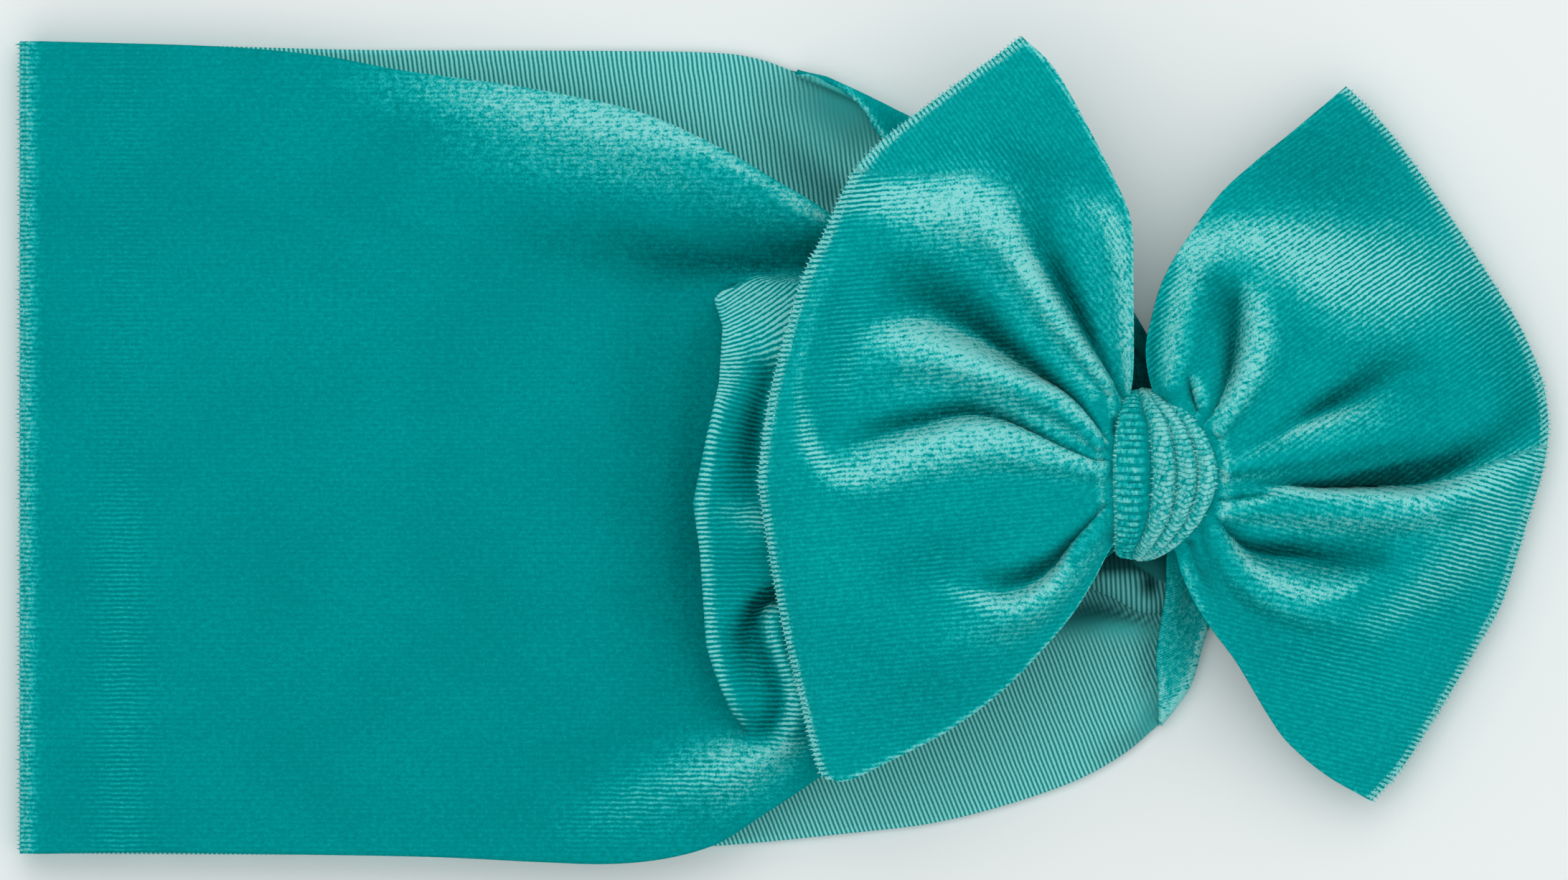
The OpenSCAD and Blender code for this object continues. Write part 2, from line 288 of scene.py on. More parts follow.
# Length along the grid's rows and across its columns, in millimetres
def clothLengths(grid):
    du = np.linalg.norm(np.diff(grid, axis=0), axis=-1)
    dv = np.linalg.norm(np.diff(grid, axis=1), axis=-1)
    along = np.concatenate([np.zeros((1, grid.shape[1])), np.cumsum(du, axis=0)])
    across = np.concatenate([np.zeros((grid.shape[0], 1)), np.cumsum(dv, axis=1)], axis=1)
    across = across - across[:, across.shape[1] // 2][:, None]
    return along, across


# The two highlight colours (bright teal and pale sheen) are for painted highlights, the darkest colour for
# painted shade; the rest are the cloth's own colours
palette = {
    "pile": (0.0, 0.335, 0.335), "pileLow": (0.0, 0.30, 0.30), "pileShade": (0.0, 0.255, 0.255),
    "paintedSheenTeal": (0.004, 0.46, 0.445), "paleSheen": (0.25, 0.70, 0.67), "paintedShadeColour": (0.0, 0.05, 0.052),
    "rib": (0.27, 0.84, 0.80), "ribShade": (0.0, 0.22, 0.21), "ribSmooth": (0.04, 0.50, 0.48),
}


def newMaterial(name):
    material = bpy.data.materials.new(name)
    material.use_nodes = True
    tree = material.node_tree
    return material, tree, tree.nodes["Principled BSDF"]


def addNode(tree, kind, **values):
    node = tree.nodes.new(kind)
    for key, value in values.items():
        setattr(node, key, value)
    return node


def calc(tree, operation, first, second=None, clamp=False):
    node = addNode(tree, "ShaderNodeMath", operation=operation, use_clamp=clamp)
    for slot, value in enumerate((first, second)):
        if value is None:
            continue
        if isinstance(value, (int, float)):
            node.inputs[slot].default_value = value
        else:
            tree.links.new(value, node.inputs[slot])
    return node.outputs[0]


def plus(tree, first, second):
    return calc(tree, "ADD", first, second)


def times(tree, first, second):
    return calc(tree, "MULTIPLY", first, second)


def mark(tree, name):
    return addNode(tree, "ShaderNodeAttribute", attribute_name=name).outputs["Fac"]


# A place on the laid-out cloth, in millimetres
def clothPlace(tree, first, second):
    place = addNode(tree, "ShaderNodeCombineXYZ")
    tree.links.new(first, place.inputs[0])
    tree.links.new(second, place.inputs[1])
    return place.outputs[0]


def blendColours(tree, share, first, second):
    node = addNode(tree, "ShaderNodeMix", data_type="RGBA")
    tree.links.new(share, node.inputs[0])
    for slot, value in ((6, first), (7, second)):
        if isinstance(value, tuple):
            node.inputs[slot].default_value = (*value, 1)
        else:
            tree.links.new(value, node.inputs[slot])
    return node.outputs[2]


def stretch(tree, value, limits):
    node = addNode(tree, "ShaderNodeMapRange", interpolation_type="SMOOTHSTEP")
    tree.links.new(value, node.inputs[0])
    node.inputs[1].default_value = limits[0]
    node.inputs[2].default_value = limits[1]
    return node.outputs[0]


def clothNoise(tree, place, scale, detail, sizes=(1, 1, 1)):
    turn = addNode(tree, "ShaderNodeMapping")
    turn.inputs["Scale"].default_value = sizes
    tree.links.new(place, turn.inputs["Vector"])
    noise = addNode(tree, "ShaderNodeTexNoise")
    noise.inputs["Scale"].default_value = scale
    noise.inputs["Detail"].default_value = detail
    tree.links.new(turn.outputs[0], noise.inputs["Vector"])
    return noise.outputs["Fac"]


def evenNoise(tree, place, scale, detail, sizes=(1, 1, 1)):
    return calc(tree, "SUBTRACT", clothNoise(tree, place, scale, detail, sizes), 0.5)


# A wave across the cloth whose lines wander a little, from -1 to 1
def wavyLines(tree, across, place, look):
    wander = clothNoise(tree, place, look["wanderScale"], 2)
    turns = times(tree, across, 2 * math.pi / look["pitch"])
    return calc(tree, "SINE", plus(tree, turns, times(tree, wander, look["wander"])))


def finishShader(tree, shader, colour, height, look):
    tree.links.new(colour, shader.inputs["Base Color"])
    shader.inputs["Roughness"].default_value = look["roughness"]
    shader.inputs["Specular IOR Level"].default_value = look["specular"]
    shader.inputs["Sheen Weight"].default_value = look["sheen"]
    bump = addNode(tree, "ShaderNodeBump")
    bump.inputs["Strength"].default_value = look["bump"]
    bump.inputs["Distance"].default_value = look["bumpDepth"]
    tree.links.new(height, bump.inputs["Height"])
    tree.links.new(bump.outputs[0], shader.inputs["Normal"])


velvetLook = {
    "pitch": 0.75, "wander": 5.0, "wanderScale": 0.35, "rows": 0.36,
    "grain": 2.6, "restGrain": 0.42, "grainScale": 1.3,
    "fleck": 0.9, "fleckScale": 3.6, "streak": 0.45, "streakScale": 1.0, "streakSizes": (0.9, 2.6, 1),
    "cloudScale": 0.06, "cloud": (0.3, 0.7),
    "shade": (-0.55, 0.25), "bright": (-0.02, 0.42), "pale": (0.26, 1.05),
    "deepBroken": -0.6, "sheenRoughness": 0.5, "sheenTint": (0.3, 0.95, 0.92, 1),
    "roughness": 1.0, "specular": 0.0, "sheen": 0.05, "bump": 0.35, "bumpDepth": 0.0002,
}


def velvetMaterial():
    look = velvetLook
    material, tree, shader = newMaterial("velvetPile")
    across = mark(tree, "across")
    cloth = clothPlace(tree, mark(tree, "along"), across)
    rows = times(tree, wavyLines(tree, across, cloth, look), mark(tree, "rows"))
    rest = addNode(tree, "ShaderNodeAttribute", attribute_name="restPlace").outputs["Vector"]
    rough = evenNoise(tree, rest, look["grainScale"], 3)
    rough = plus(tree, rough, times(tree, evenNoise(tree, rest, look["fleckScale"], 2), look["fleck"]))
    streak = evenNoise(tree, cloth, look["streakScale"], 3, look["streakSizes"])
    rough = plus(tree, rough, times(tree, streak, look["streak"]))
    rough = plus(tree, rough, times(tree, rows, look["rows"]))
    # The pale mark is painted highlight, blended to a bright teal and then to a pale sheen; further on, the
    # deep mark is painted shade
    pale = mark(tree, "pale")
    swing = plus(tree, times(tree, pale, look["grain"]), look["restGrain"])
    broken = plus(tree, pale, times(tree, rough, swing))
    cloudy = clothNoise(tree, cloth, look["cloudScale"], 3)
    base = blendColours(tree, stretch(tree, cloudy, look["cloud"]), palette["pileLow"], palette["pile"])
    base = blendColours(tree, stretch(tree, rough, look["shade"]), palette["pileShade"], base)
    bright = blendColours(tree, stretch(tree, broken, look["bright"]), base, palette["paintedSheenTeal"])
    lit = blendColours(tree, stretch(tree, broken, look["pale"]), bright, palette["paleSheen"])
    deep = mark(tree, "deep")
    deepBroken = times(tree, times(tree, rough, deep), look["deepBroken"])
    deepShare = calc(tree, "ADD", deep, deepBroken, clamp=True)
    shader.inputs["Sheen Roughness"].default_value = look["sheenRoughness"]
    shader.inputs["Sheen Tint"].default_value = look["sheenTint"]
    finishShader(tree, shader, blendColours(tree, deepShare, lit, palette["paintedShadeColour"]), rough, look)
    return material


ribLook = {
    "pitch": 0.74, "wander": 4.0, "wanderScale": 0.12, "ribs": 0.8,
    "fibre": 0.3, "fibreScale": 4.0, "fibreSizes": (1, 0.4, 1), "shown": (0.05, 1.0),
    "smoothLevel": 0.5, "smoothShare": 0.85,
    "roughness": 0.85, "specular": 0.05, "sheen": 0.0, "bump": 0.6, "bumpDepth": 0.00025,
}


def ribbedMaterial():
    look = ribLook
    material, tree, shader = newMaterial("ribbedReverse")
    ribLine = mark(tree, "ribLine")
    place = clothPlace(tree, ribLine, mark(tree, "across"))
    ribs = times(tree, plus(tree, wavyLines(tree, ribLine, place, look), 1.0), 0.5)
    fibre = clothNoise(tree, place, look["fibreScale"], 3, look["fibreSizes"])
    smooth = mark(tree, "smoothed")
    share = plus(tree, times(tree, ribs, look["ribs"]), times(tree, fibre, look["fibre"]))
    share = times(tree, share, calc(tree, "SUBTRACT", 1.0, smooth))
    share = plus(tree, share, times(tree, smooth, look["smoothLevel"]))
    colour = blendColours(tree, stretch(tree, share, look["shown"]), palette["ribShade"], palette["rib"])
    colour = blendColours(tree, times(tree, smooth, look["smoothShare"]), colour, palette["ribSmooth"])
    # The deep mark is painted shade here too
    colour = blendColours(tree, mark(tree, "deep"), colour, palette["paintedShadeColour"])
    finishShader(tree, shader, colour, share, look)
    return material


napLook = {
    "shown": (0.3, 0.7), "roughness": 1.0, "specular": 0.05, "sheen": 0.05, "bump": 0.4, "bumpDepth": 0.0001,
}


def plainNapMaterial(name, low, high, scale):
    material, tree, shader = newMaterial(name)
    coord = addNode(tree, "ShaderNodeTexCoord")
    noise = clothNoise(tree, coord.outputs["Object"], scale, 3)
    colour = blendColours(tree, stretch(tree, noise, napLook["shown"]), low, high)
    finishShader(tree, shader, colour, noise, napLook)
    return material


velvet = velvetMaterial()
ribbed = ribbedMaterial()
# Both tip finishes are lighter than the pile: painted sheen on the pile that stands out at folds
tipPile = plainNapMaterial("pileTips", (0.01, 0.34, 0.34), (0.17, 0.56, 0.54), 900)
paleTips = plainNapMaterial("paleTips", (0.05, 0.46, 0.45), (0.34, 0.72, 0.69), 900)
# The gathered pile is darker than the pile: painted shade for cloth deep inside the knot
shadedInnerPile = plainNapMaterial("gatheredPile", (0.0, 0.16, 0.17), (0.0, 0.28, 0.29), 1500)
threadFinish = plainNapMaterial("sewingThread", (0.01, 0.28, 0.27), (0.04, 0.42, 0.40), 3000)
print("materials made")


# Painted light: the flank of a fold facing the lamp side (+Y, a little +X) gets a painted highlight, the
# flank turned away gets painted shade, and hollows get painted shade
paintedSlopeLight = {
    "x": 0.16, "y": 0.985, "paleFrom": 0.12, "paleTo": 0.66, "darkFrom": 0.08, "darkTo": 0.72,
    "pale": 0.26, "paleMost": 1.1, "dark": 0.5, "hollow": 0.16, "hollowBlur": 40,
    "hollowRange": (-1, 2), "deepMost": 0.95, "deepLostWherePale": 0.75, "rowsLostInStrokes": 0.6,
}


# The first list holds strokes of painted highlight, shaded strokes of painted shade, combed strokes of clear
# rows: path, strength, width
def pileMarks(grid, relief, highlightStrokes=(), shaded=(), combed=(), extraPale=0.0, extraDeep=0.0, rowsShown=1.0):
    lean = paintedSlopeLight
    lay = gridNormals(relief)
    lay = lay * np.sign(lay[..., 2:3] + 1e-9)
    # Painted highlight on flanks facing the lamp side, painted shade on flanks turned away and in hollows
    tilt = lay[..., 0] * lean["x"] + lay[..., 1] * lean["y"]
    lit = lean["pale"] * ease((tilt - lean["paleFrom"]) / (lean["paleTo"] - lean["paleFrom"]))
    dark = lean["dark"] * ease((-tilt - lean["darkFrom"]) / (lean["darkTo"] - lean["darkFrom"]))
    height = relief[..., 2]
    hollow = lean["hollow"] * np.clip(blurred(height, lean["hollowBlur"]) - height, *lean["hollowRange"])
    plan = relief[..., :2]
    strokes = foldsTogether(plan, highlightStrokes)
    pale = lit + strokes + extraPale
    deep = np.clip(dark + hollow + foldsTogether(plan, shaded) + extraDeep, 0, lean["deepMost"])
    deep = deep * (1 - lean["deepLostWherePale"] * np.clip(pale, 0, 1))
    along, across = clothLengths(grid)
    rows = rowsShown * (1 - lean["rowsLostInStrokes"] * np.clip(strokes, 0, 1)) + foldsTogether(plan, combed)
    return {
        "pale": np.clip(pale, 0, lean["paleMost"]), "deep": deep,
        "rows": np.broadcast_to(rows, pale.shape) * 1.0,
        "along": along, "across": across, "ribLine": along, "smoothed": np.zeros(pale.shape),
    }


tipShape = {
    "jitter": 0.08, "ahead": 0.3, "long": (0.55, 1.25), "sway": 0.12, "rooted": 0.25,
    "halfWide": (0.11, 0.19), "halfHigh": (0.14, 0.25),
}


# Rows of pile tips that stand out along a fold, one small wedge for each row of pile
def pileTips(name, edge, outward, length, pitch, body, seed, stout=1.0, finish=None):
    rng = np.random.default_rng(seed)
    shape = tipShape
    run = lengthSoFar(edge)
    count = int(run[-1] / pitch)
    at = (np.arange(count) + 0.5) * pitch + rng.uniform(-shape["jitter"], shape["jitter"], count)
    spots = placesAt(at, run, edge)
    outs = placesAt(at, run, outward)
    ahead = placesAt(at + shape["ahead"], run, edge) - spots
    verts = []
    faces = []
    for spot, out, onward in zip(spots, outs, ahead):
        out = out / max(np.linalg.norm(out), 1e-9)
        side = onward / max(np.linalg.norm(onward), 1e-9)
        lift = np.cross(out, side)
        reach = out * length * rng.uniform(*shape["long"])
        tip = spot + reach + side * rng.uniform(-shape["sway"], shape["sway"])
        root = spot - out * shape["rooted"]
        w = rng.uniform(*shape["halfWide"]) * stout
        h = rng.uniform(*shape["halfHigh"]) * stout
        first = len(verts)
        for a, b in ((-1, -1), (1, -1), (1, 1), (-1, 1)):
            verts.append((root + side * a * w + lift * b * h) * mm)
        verts.append(tip * mm)
        faces.append((first, first + 3, first + 2, first + 1))
        for k in range(4):
            faces.append((first + k, first + (k + 1) % 4, first + 4))
    mesh = bpy.data.meshes.new(name)
    mesh.from_pydata([tuple(v) for v in verts], [], faces)
    mesh.materials.append(finish or tipPile)
    piece = bpy.data.objects.new(name, mesh)
    bpy.context.scene.collection.objects.link(piece)
    editAll(piece, lambda: bpy.ops.mesh.normals_make_consistent(inside=False))
    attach(piece, body)


knotSides = {
    "left": 0.3, "leftSwell": 0.2, "leftPower": 0.8, "right": -0.15, "rightSwell": 0.65, "rightPower": 1.4,
}


# The knot's two side edges, as distances from its middle, by the angle round it from its upper end
def knotLeft(a):
    swell = knotSides["leftSwell"] * np.abs(np.sin(a)) ** knotSides["leftPower"]
    return -knot["w"] * (knotSides["left"] + swell)


def knotRight(a):
    swell = knotSides["rightSwell"] * np.abs(np.sin(a)) ** knotSides["rightPower"]
    return knot["w"] * (knotSides["right"] + swell)


def rounded(u, power):
    return np.sqrt(np.maximum(0, 1 - u ** power))


def plateau(v, share):
    return ease(v / share) * ease((1 - v) / share)


rootMake = {"columns": 19, "into": 0.7, "inside": 0.9}


# The line along which cloth enters the knot, seen from above, from one angle round the knot to another
def knotRoot(edge, angles, into):
    return np.stack([edge(angles) + into, (knot["h"] / 2 - rootMake["inside"]) * np.cos(angles)], axis=-1)


leftLoop = {
    "fold": [[-22.6, 69.4], [-26.3, 66.5], [-30.3, 63.7], [-35.2, 60.1], [-40.9, 55.9], [-45.2, 52.4],
             [-49.6, 47.3], [-54, 38], [-57.9, 29.6], [-62.5, 12.6], [-64.2, 1], [-63.8, -5],
             [-61, -21.5], [-58.4, -32.9], [-55.6, -44.2], [-54.4, -47.4], [-53.3, -48.3]],
    "top": [[-5.6, 12.6], [-5.2, 16], [-5.1, 20], [-5.2, 30], [-5.5, 40], [-8, 46.7], [-13.8, 58],
            [-18, 65], [-22.6, 69.4]],
    "bottom": [[-8.6, -11.5], [-11.6, -17], [-16.1, -23.8], [-25.2, -33.7], [-34.3, -40.6],
               [-43.5, -45.4], [-50, -48.4], [-53.3, -48.3]],
    "rootFrom": 15, "rootTo": 150, "size": [0.992, 0.992], "shift": 0.1, "low": 16.5, "sideDrop": 2.5,
    "edgePale": 0.6, "rowTurns": [-55, 5],
    "rowSeam": [[-52, 48], [-45, 47.5], [-36, 47], [-30, 47.5], [-25, 46], [-21, 38], [-16, 27], [-9, 14],
                [-4, 10]],
    # Strokes of painted highlight; shaded holds strokes of painted shade
    "highlightStrokes": [
        ([[-48, 43.2], [-43, 42.8], [-37, 42], [-31.5, 41.8], [-27.8, 40.6], [-25, 37.2], [-21.8, 32.2]],
         [0.4, 0.66, 0.74, 0.8, 0.8, 0.72, 0.62], [2.2, 3.0, 3.9, 5.0, 4.6, 2.9, 1.8]),
        ([[-21.8, 32.2], [-19.2, 28], [-17.1, 24.5], [-14.5, 20.9], [-12.2, 18], [-10.4, 15.5],
          [-9, 12.8], [-8.6, 9.4]], [0.6, 0.6, 0.56, 0.55, 0.55, 0.5, 0.5, 0.4],
         [1.6, 1.4, 1.3, 1.2, 1.0, 0.8, 0.6, 0.5]),
        ([[-46.4, 44.4], [-39, 44.8], [-32, 45]], [0.2, 0.3, 0.2], [1.6, 2.0, 2.4]),
        ([[-10.6, 3.6], [-10, -1], [-10, -6]], [0.3, 0.36, 0.3], [0.9, 0.9, 0.9]),
        ([[-40.6, 56], [-35, 60.8], [-30, 64.4], [-24, 68]], [0.3, 0.5, 0.55, 0.5], [0.9, 1.2, 1.3, 1.2]),
        ([[-60, 24], [-56, 34], [-50, 46], [-43, 53.6]], [0.3, 0.4, 0.4, 0.3], [0.8, 0.9, 1.0, 0.9]),
        ([[-9.4, 6.6], [-9.7, 5]], [0.4, 0.3], [0.5, 0.5]),
        ([[-40, 16.8], [-31, 16.4], [-24, 13.6]], [0.1, 0.16, 0.12], [2.6, 2.6, 2]),
        ([[-28, 12], [-20, 8.8], [-13, 5.6]], [0.1, 0.2, 0.2], [1.3, 1.2, 0.9]),
        ([[-14.6, 16.4], [-11, 13]], [0.2, 0.2], [1.0, 0.9]),
        ([[-51, 13.5], [-49.2, 17], [-45.4, 20], [-40.8, 21.2], [-36.5, 21], [-31.5, 19.2], [-27.7, 17.7],
          [-24.5, 16.6], [-21.3, 15], [-18.6, 13.2], [-15.7, 11], [-13, 8.6], [-10.6, 6]],
         [0.05, 0.12, 0.28, 0.56, 0.68, 0.68, 0.64, 0.62, 0.6, 0.58, 0.5, 0.45, 0.4],
         [1.6, 2.0, 2.6, 3.3, 3.2, 2.9, 2.6, 2.3, 1.9, 1.7, 1.3, 0.9, 0.6]),
        ([[-48, 12.5], [-40, 14.6], [-32, 14.2], [-25, 12], [-18, 8.6], [-11, 4.2]],
         [0.06, 0.16, 0.18, 0.2, 0.2, 0.16], [3, 2.8, 2.4, 2.0, 1.5, 0.9]),
        ([[-42, 37], [-34, 35], [-27, 31.6], [-21, 25], [-16, 18.4], [-11.6, 12.4]],
         [0.06, 0.12, 0.16, 0.2, 0.22, 0.2], [3, 3, 2.8, 2.4, 1.8, 1.0]),
        ([[-15, 44], [-12.6, 36], [-10.6, 28], [-8.9, 21]], [0.1, 0.14, 0.16, 0.14], [2.6, 2.4, 1.8, 1.2]),
        ([[-33, -24.6], [-26, -24.6], [-20.5, -22], [-15.4, -16.8], [-10.6, -11]],
         [0.1, 0.22, 0.28, 0.3, 0.24], [3, 2.6, 2.2, 1.8, 1.2]),
        ([[-34, 1], [-22, 0.8], [-12, -0.4]], [0.1, 0.16, 0.14], [2, 1.8, 1.4]),
        ([[-56.4, 9], [-55.8, 5], [-53.5, 1.4], [-50, -0.1], [-45, 0.9], [-40, 2.8], [-35, 4.8],
          [-30, 5.7], [-25, 5.3], [-20, 4], [-15, 2.4], [-10.5, 1.2]],
         [0.2, 0.45, 0.58, 0.62, 0.6, 0.64, 0.66, 0.68, 0.64, 0.55, 0.5, 0.4],
         [1.0, 1.4, 1.9, 2.4, 2.9, 3.4, 3.7, 3.4, 2.9, 2.2, 1.5, 0.8]),
        ([[-35, -18], [-31, -19.3], [-28, -20.3], [-25, -20.6], [-22, -19.5], [-19.8, -18.2],
          [-17.6, -16.3], [-16, -13.8], [-14.6, -11.4]], [0.1, 0.3, 0.42, 0.5, 0.5, 0.5, 0.45, 0.4, 0.3],
         [1.0, 1.4, 1.7, 1.7, 1.5, 1.3, 1.1, 0.9, 0.7]),
        ([[-13, 42.6], [-9.6, 41.2], [-7.8, 37], [-6.9, 31], [-6.4, 24], [-6.2, 18], [-6, 13.6]],
         [0.2, 0.5, 0.66, 0.72, 0.7, 0.66, 0.6], [2.2, 2.5, 2.1, 1.8, 1.5, 1.2, 0.8]),
        ([[-51, 36], [-55, 27], [-57.6, 15], [-57.4, 4]], [0.08, 0.16, 0.2, 0.1], [0.9, 1.1, 1.1, 1.0]),
    ],
    "shaded": [
        ([[-7.6, 14], [-9.2, 18], [-11.2, 21.5], [-13.8, 26.3], [-16.2, 31], [-18.6, 35.5], [-20.6, 40],
          [-22.4, 45.5]], [0.15, 0.3, 0.48, 0.6, 0.54, 0.4, 0.26, 0.08],
         [0.6, 0.9, 1.5, 2.0, 2.6, 3.0, 3.2, 3.4]),
        ([[-26, 52], [-21, 47], [-17, 42]], [0.06, 0.1, 0.06], [4, 4, 3]),
        ([[-8.3, 8.8], [-8.2, 6.6]], [0.7, 0.7], [0.5, 0.5]),
        ([[-47, -28], [-38, -34], [-30, -33]], [0.12, 0.16, 0.1], [8, 8, 6]),
        ([[-43, 34], [-36, 32.6], [-30, 28.8], [-26, 24.8]], [0.18, 0.26, 0.26, 0.2], [2.6, 2.8, 2.4, 2]),
        ([[-52, 28], [-50.4, 21], [-52, 13], [-53.6, 7]], [0.12, 0.16, 0.16, 0.16], [2.4, 2.4, 2, 1.6]),
        ([[-24, 50], [-17, 48], [-12, 46.6]], [0.1, 0.14, 0.1], [3, 3, 3]),
        ([[-11, 8.5], [-13.4, 11], [-16.2, 13.5], [-18.8, 15.5], [-21.6, 17.5], [-24.3, 19.3],
          [-27.4, 21.6], [-31, 24.4], [-35, 27.4], [-40, 30.6], [-46, 31]],
         [0.1, 0.2, 0.38, 0.62, 0.7, 0.6, 0.42, 0.34, 0.32, 0.26, 0.1],
         [0.4, 0.5, 0.7, 1.0, 1.5, 2.1, 2.8, 3.6, 4.2, 4.2, 4]),
        ([[-50, 5.6], [-45, 7], [-40, 8.6], [-35, 10], [-30.5, 10.6], [-26, 9.8], [-20, 7], [-14, 4]],
         [0.14, 0.24, 0.3, 0.3, 0.28, 0.22, 0.16, 0.14], [1.8, 1.9, 1.8, 1.5, 1.1, 0.8, 0.5, 0.4]),
        ([[-28, -15.8], [-24, -15.9], [-20.5, -14.6], [-17.6, -12.6], [-14.8, -9.9]],
         [0.1, 0.26, 0.4, 0.36, 0.2], [2.4, 2.2, 1.8, 1.2, 0.6]),
        ([[-42, -14.5], [-36, -12.4], [-29, -9.6]], [0.16, 0.2, 0.16], [4.4, 4.4, 4]),
    ],
    "combed": [
        ([[-46, 47], [-52, 39], [-57, 28]], [0.7, 0.8, 0.5], [2.4, 2.2, 1.8]),
        ([[-48, 43.5], [-41, 43.6]], [0.7, 0.3], [3, 3]),
        ([[-47, 31], [-50, 25], [-51, 17], [-52, 9]], [0.35, 0.8, 0.8, 0.3], [3, 3, 2.6, 2]),
        ([[-57, 12], [-56, 4], [-50, 0]], [0.8, 0.7, 0.2], [2, 2, 2]),
        ([[-36, -15], [-34, -19], [-28, -22]], [0.5, 0.7, 0.4], [3, 3, 2]),
        ([[-21, 51], [-30, 52], [-38, 51]], [0.35, 0.4, 0.3], [3, 3, 3]),
    ],
}
# Ridges and grooves of its upper layer: path, rise, width, and how much wider the side left of the path is
leftFolds = [
    ([[-6.6, 10.6], [-8.6, 14.5], [-10.5, 17.5], [-12.7, 21], [-15.4, 25.6], [-18, 30], [-20.4, 33.8],
      [-22.3, 38], [-24, 43]], [-1.2, -2.0, -3.0, -4.0, -4.2, -3.8, -2.8, -1.8, -0.4],
     [0.7, 1.0, 1.4, 2.0, 2.6, 3.1, 3.5, 4.0, 4.5], 0.45),
    ([[-9, 14], [-11.8, 18.4], [-14.4, 22], [-18.8, 28.6], [-23.5, 35.5], [-30, 41], [-42, 42.5]],
     [1.2, 1.8, 2.2, 2.4, 2.4, 2.0, 0.6], [1.1, 1.5, 2.0, 2.8, 3.6, 4.4, 5], 1.0),
    ([[-9.6, 5.4], [-11.4, 8], [-13.6, 10.7], [-16.4, 13.2], [-19.1, 14.8], [-21.8, 16.2], [-24.5, 17.8],
      [-27.3, 19.5], [-30.9, 21.5], [-34.5, 23.3], [-38.2, 24.6], [-44, 24.8], [-50, 22.6]],
     [-1.0, -1.5, -2.2, -3.0, -4.0, -4.6, -4.8, -4.8, -4.5, -3.9, -3.2, -1.9, -0.3],
     [0.6, 0.7, 0.9, 1.2, 1.7, 2.3, 2.9, 3.6, 4.4, 5.0, 5.4, 5.6, 5.6], 0.5),
    ([[-10.6, 4.8], [-16, 10], [-24, 14.6], [-33, 18.2], [-42, 19.2], [-50, 16]],
     [1.0, 1.6, 2.2, 2.4, 2.0, 0.6], [1.0, 1.8, 2.8, 3.4, 4, 4.5], 1.0),
    ([[-9.6, 2.0], [-11.4, 2.1], [-13.6, 3], [-16.4, 4.2], [-19.1, 5.6], [-21.8, 6.9], [-24.5, 8.1],
      [-27.3, 8.8], [-30.4, 9.1], [-33.8, 8.7], [-37.3, 7.6], [-41, 6.7], [-46, 5.5], [-52, 4.4]],
     [-1.0, -1.1, -1.2, -1.3, -1.5, -1.8, -2.2, -2.6, -2.9, -3.0, -3.0, -2.7, -1.9, -0.3],
     [0.5, 0.5, 0.6, 0.7, 0.8, 1.0, 1.3, 1.7, 2.1, 2.4, 2.6, 2.9, 3.3, 4], 0.6),
    ([[-10, 0.4], [-20, 3], [-29, 4.4], [-38, 3], [-47, 0.2], [-54, 0]], [0.8, 1.4, 1.8, 1.8, 1.5, 0.4],
     [1.6, 2.6, 3.6, 4.2, 4.4, 5], 1.0),
    ([[-9.6, -5.2], [-12.4, -8.3], [-14.6, -10.8], [-16.2, -13], [-18.1, -15.4], [-20.5, -17.2],
      [-23.6, -18.5], [-27.5, -18.6], [-33, -17]], [-1.2, -1.8, -2.4, -2.9, -3.2, -3.1, -2.6, -1.8, -0.3],
     [0.6, 0.8, 1.1, 1.6, 2.2, 2.7, 3.1, 3.4, 4], 0.5),
    ([[-9.6, -8.4], [-13, -12], [-16.6, -17], [-20.5, -20.6], [-26, -22.4], [-33, -22]],
     [0.7, 1.4, 1.9, 2.0, 1.5, 0.4], [1.1, 1.7, 2.2, 2.6, 3.0, 4], 1.0),
    ([[-46, 36], [-54, 24], [-57, 10], [-55, 0]], [-0.2, -1.3, -1.5, -0.2], [3, 2.6, 2.6, 3], 1.0),
]

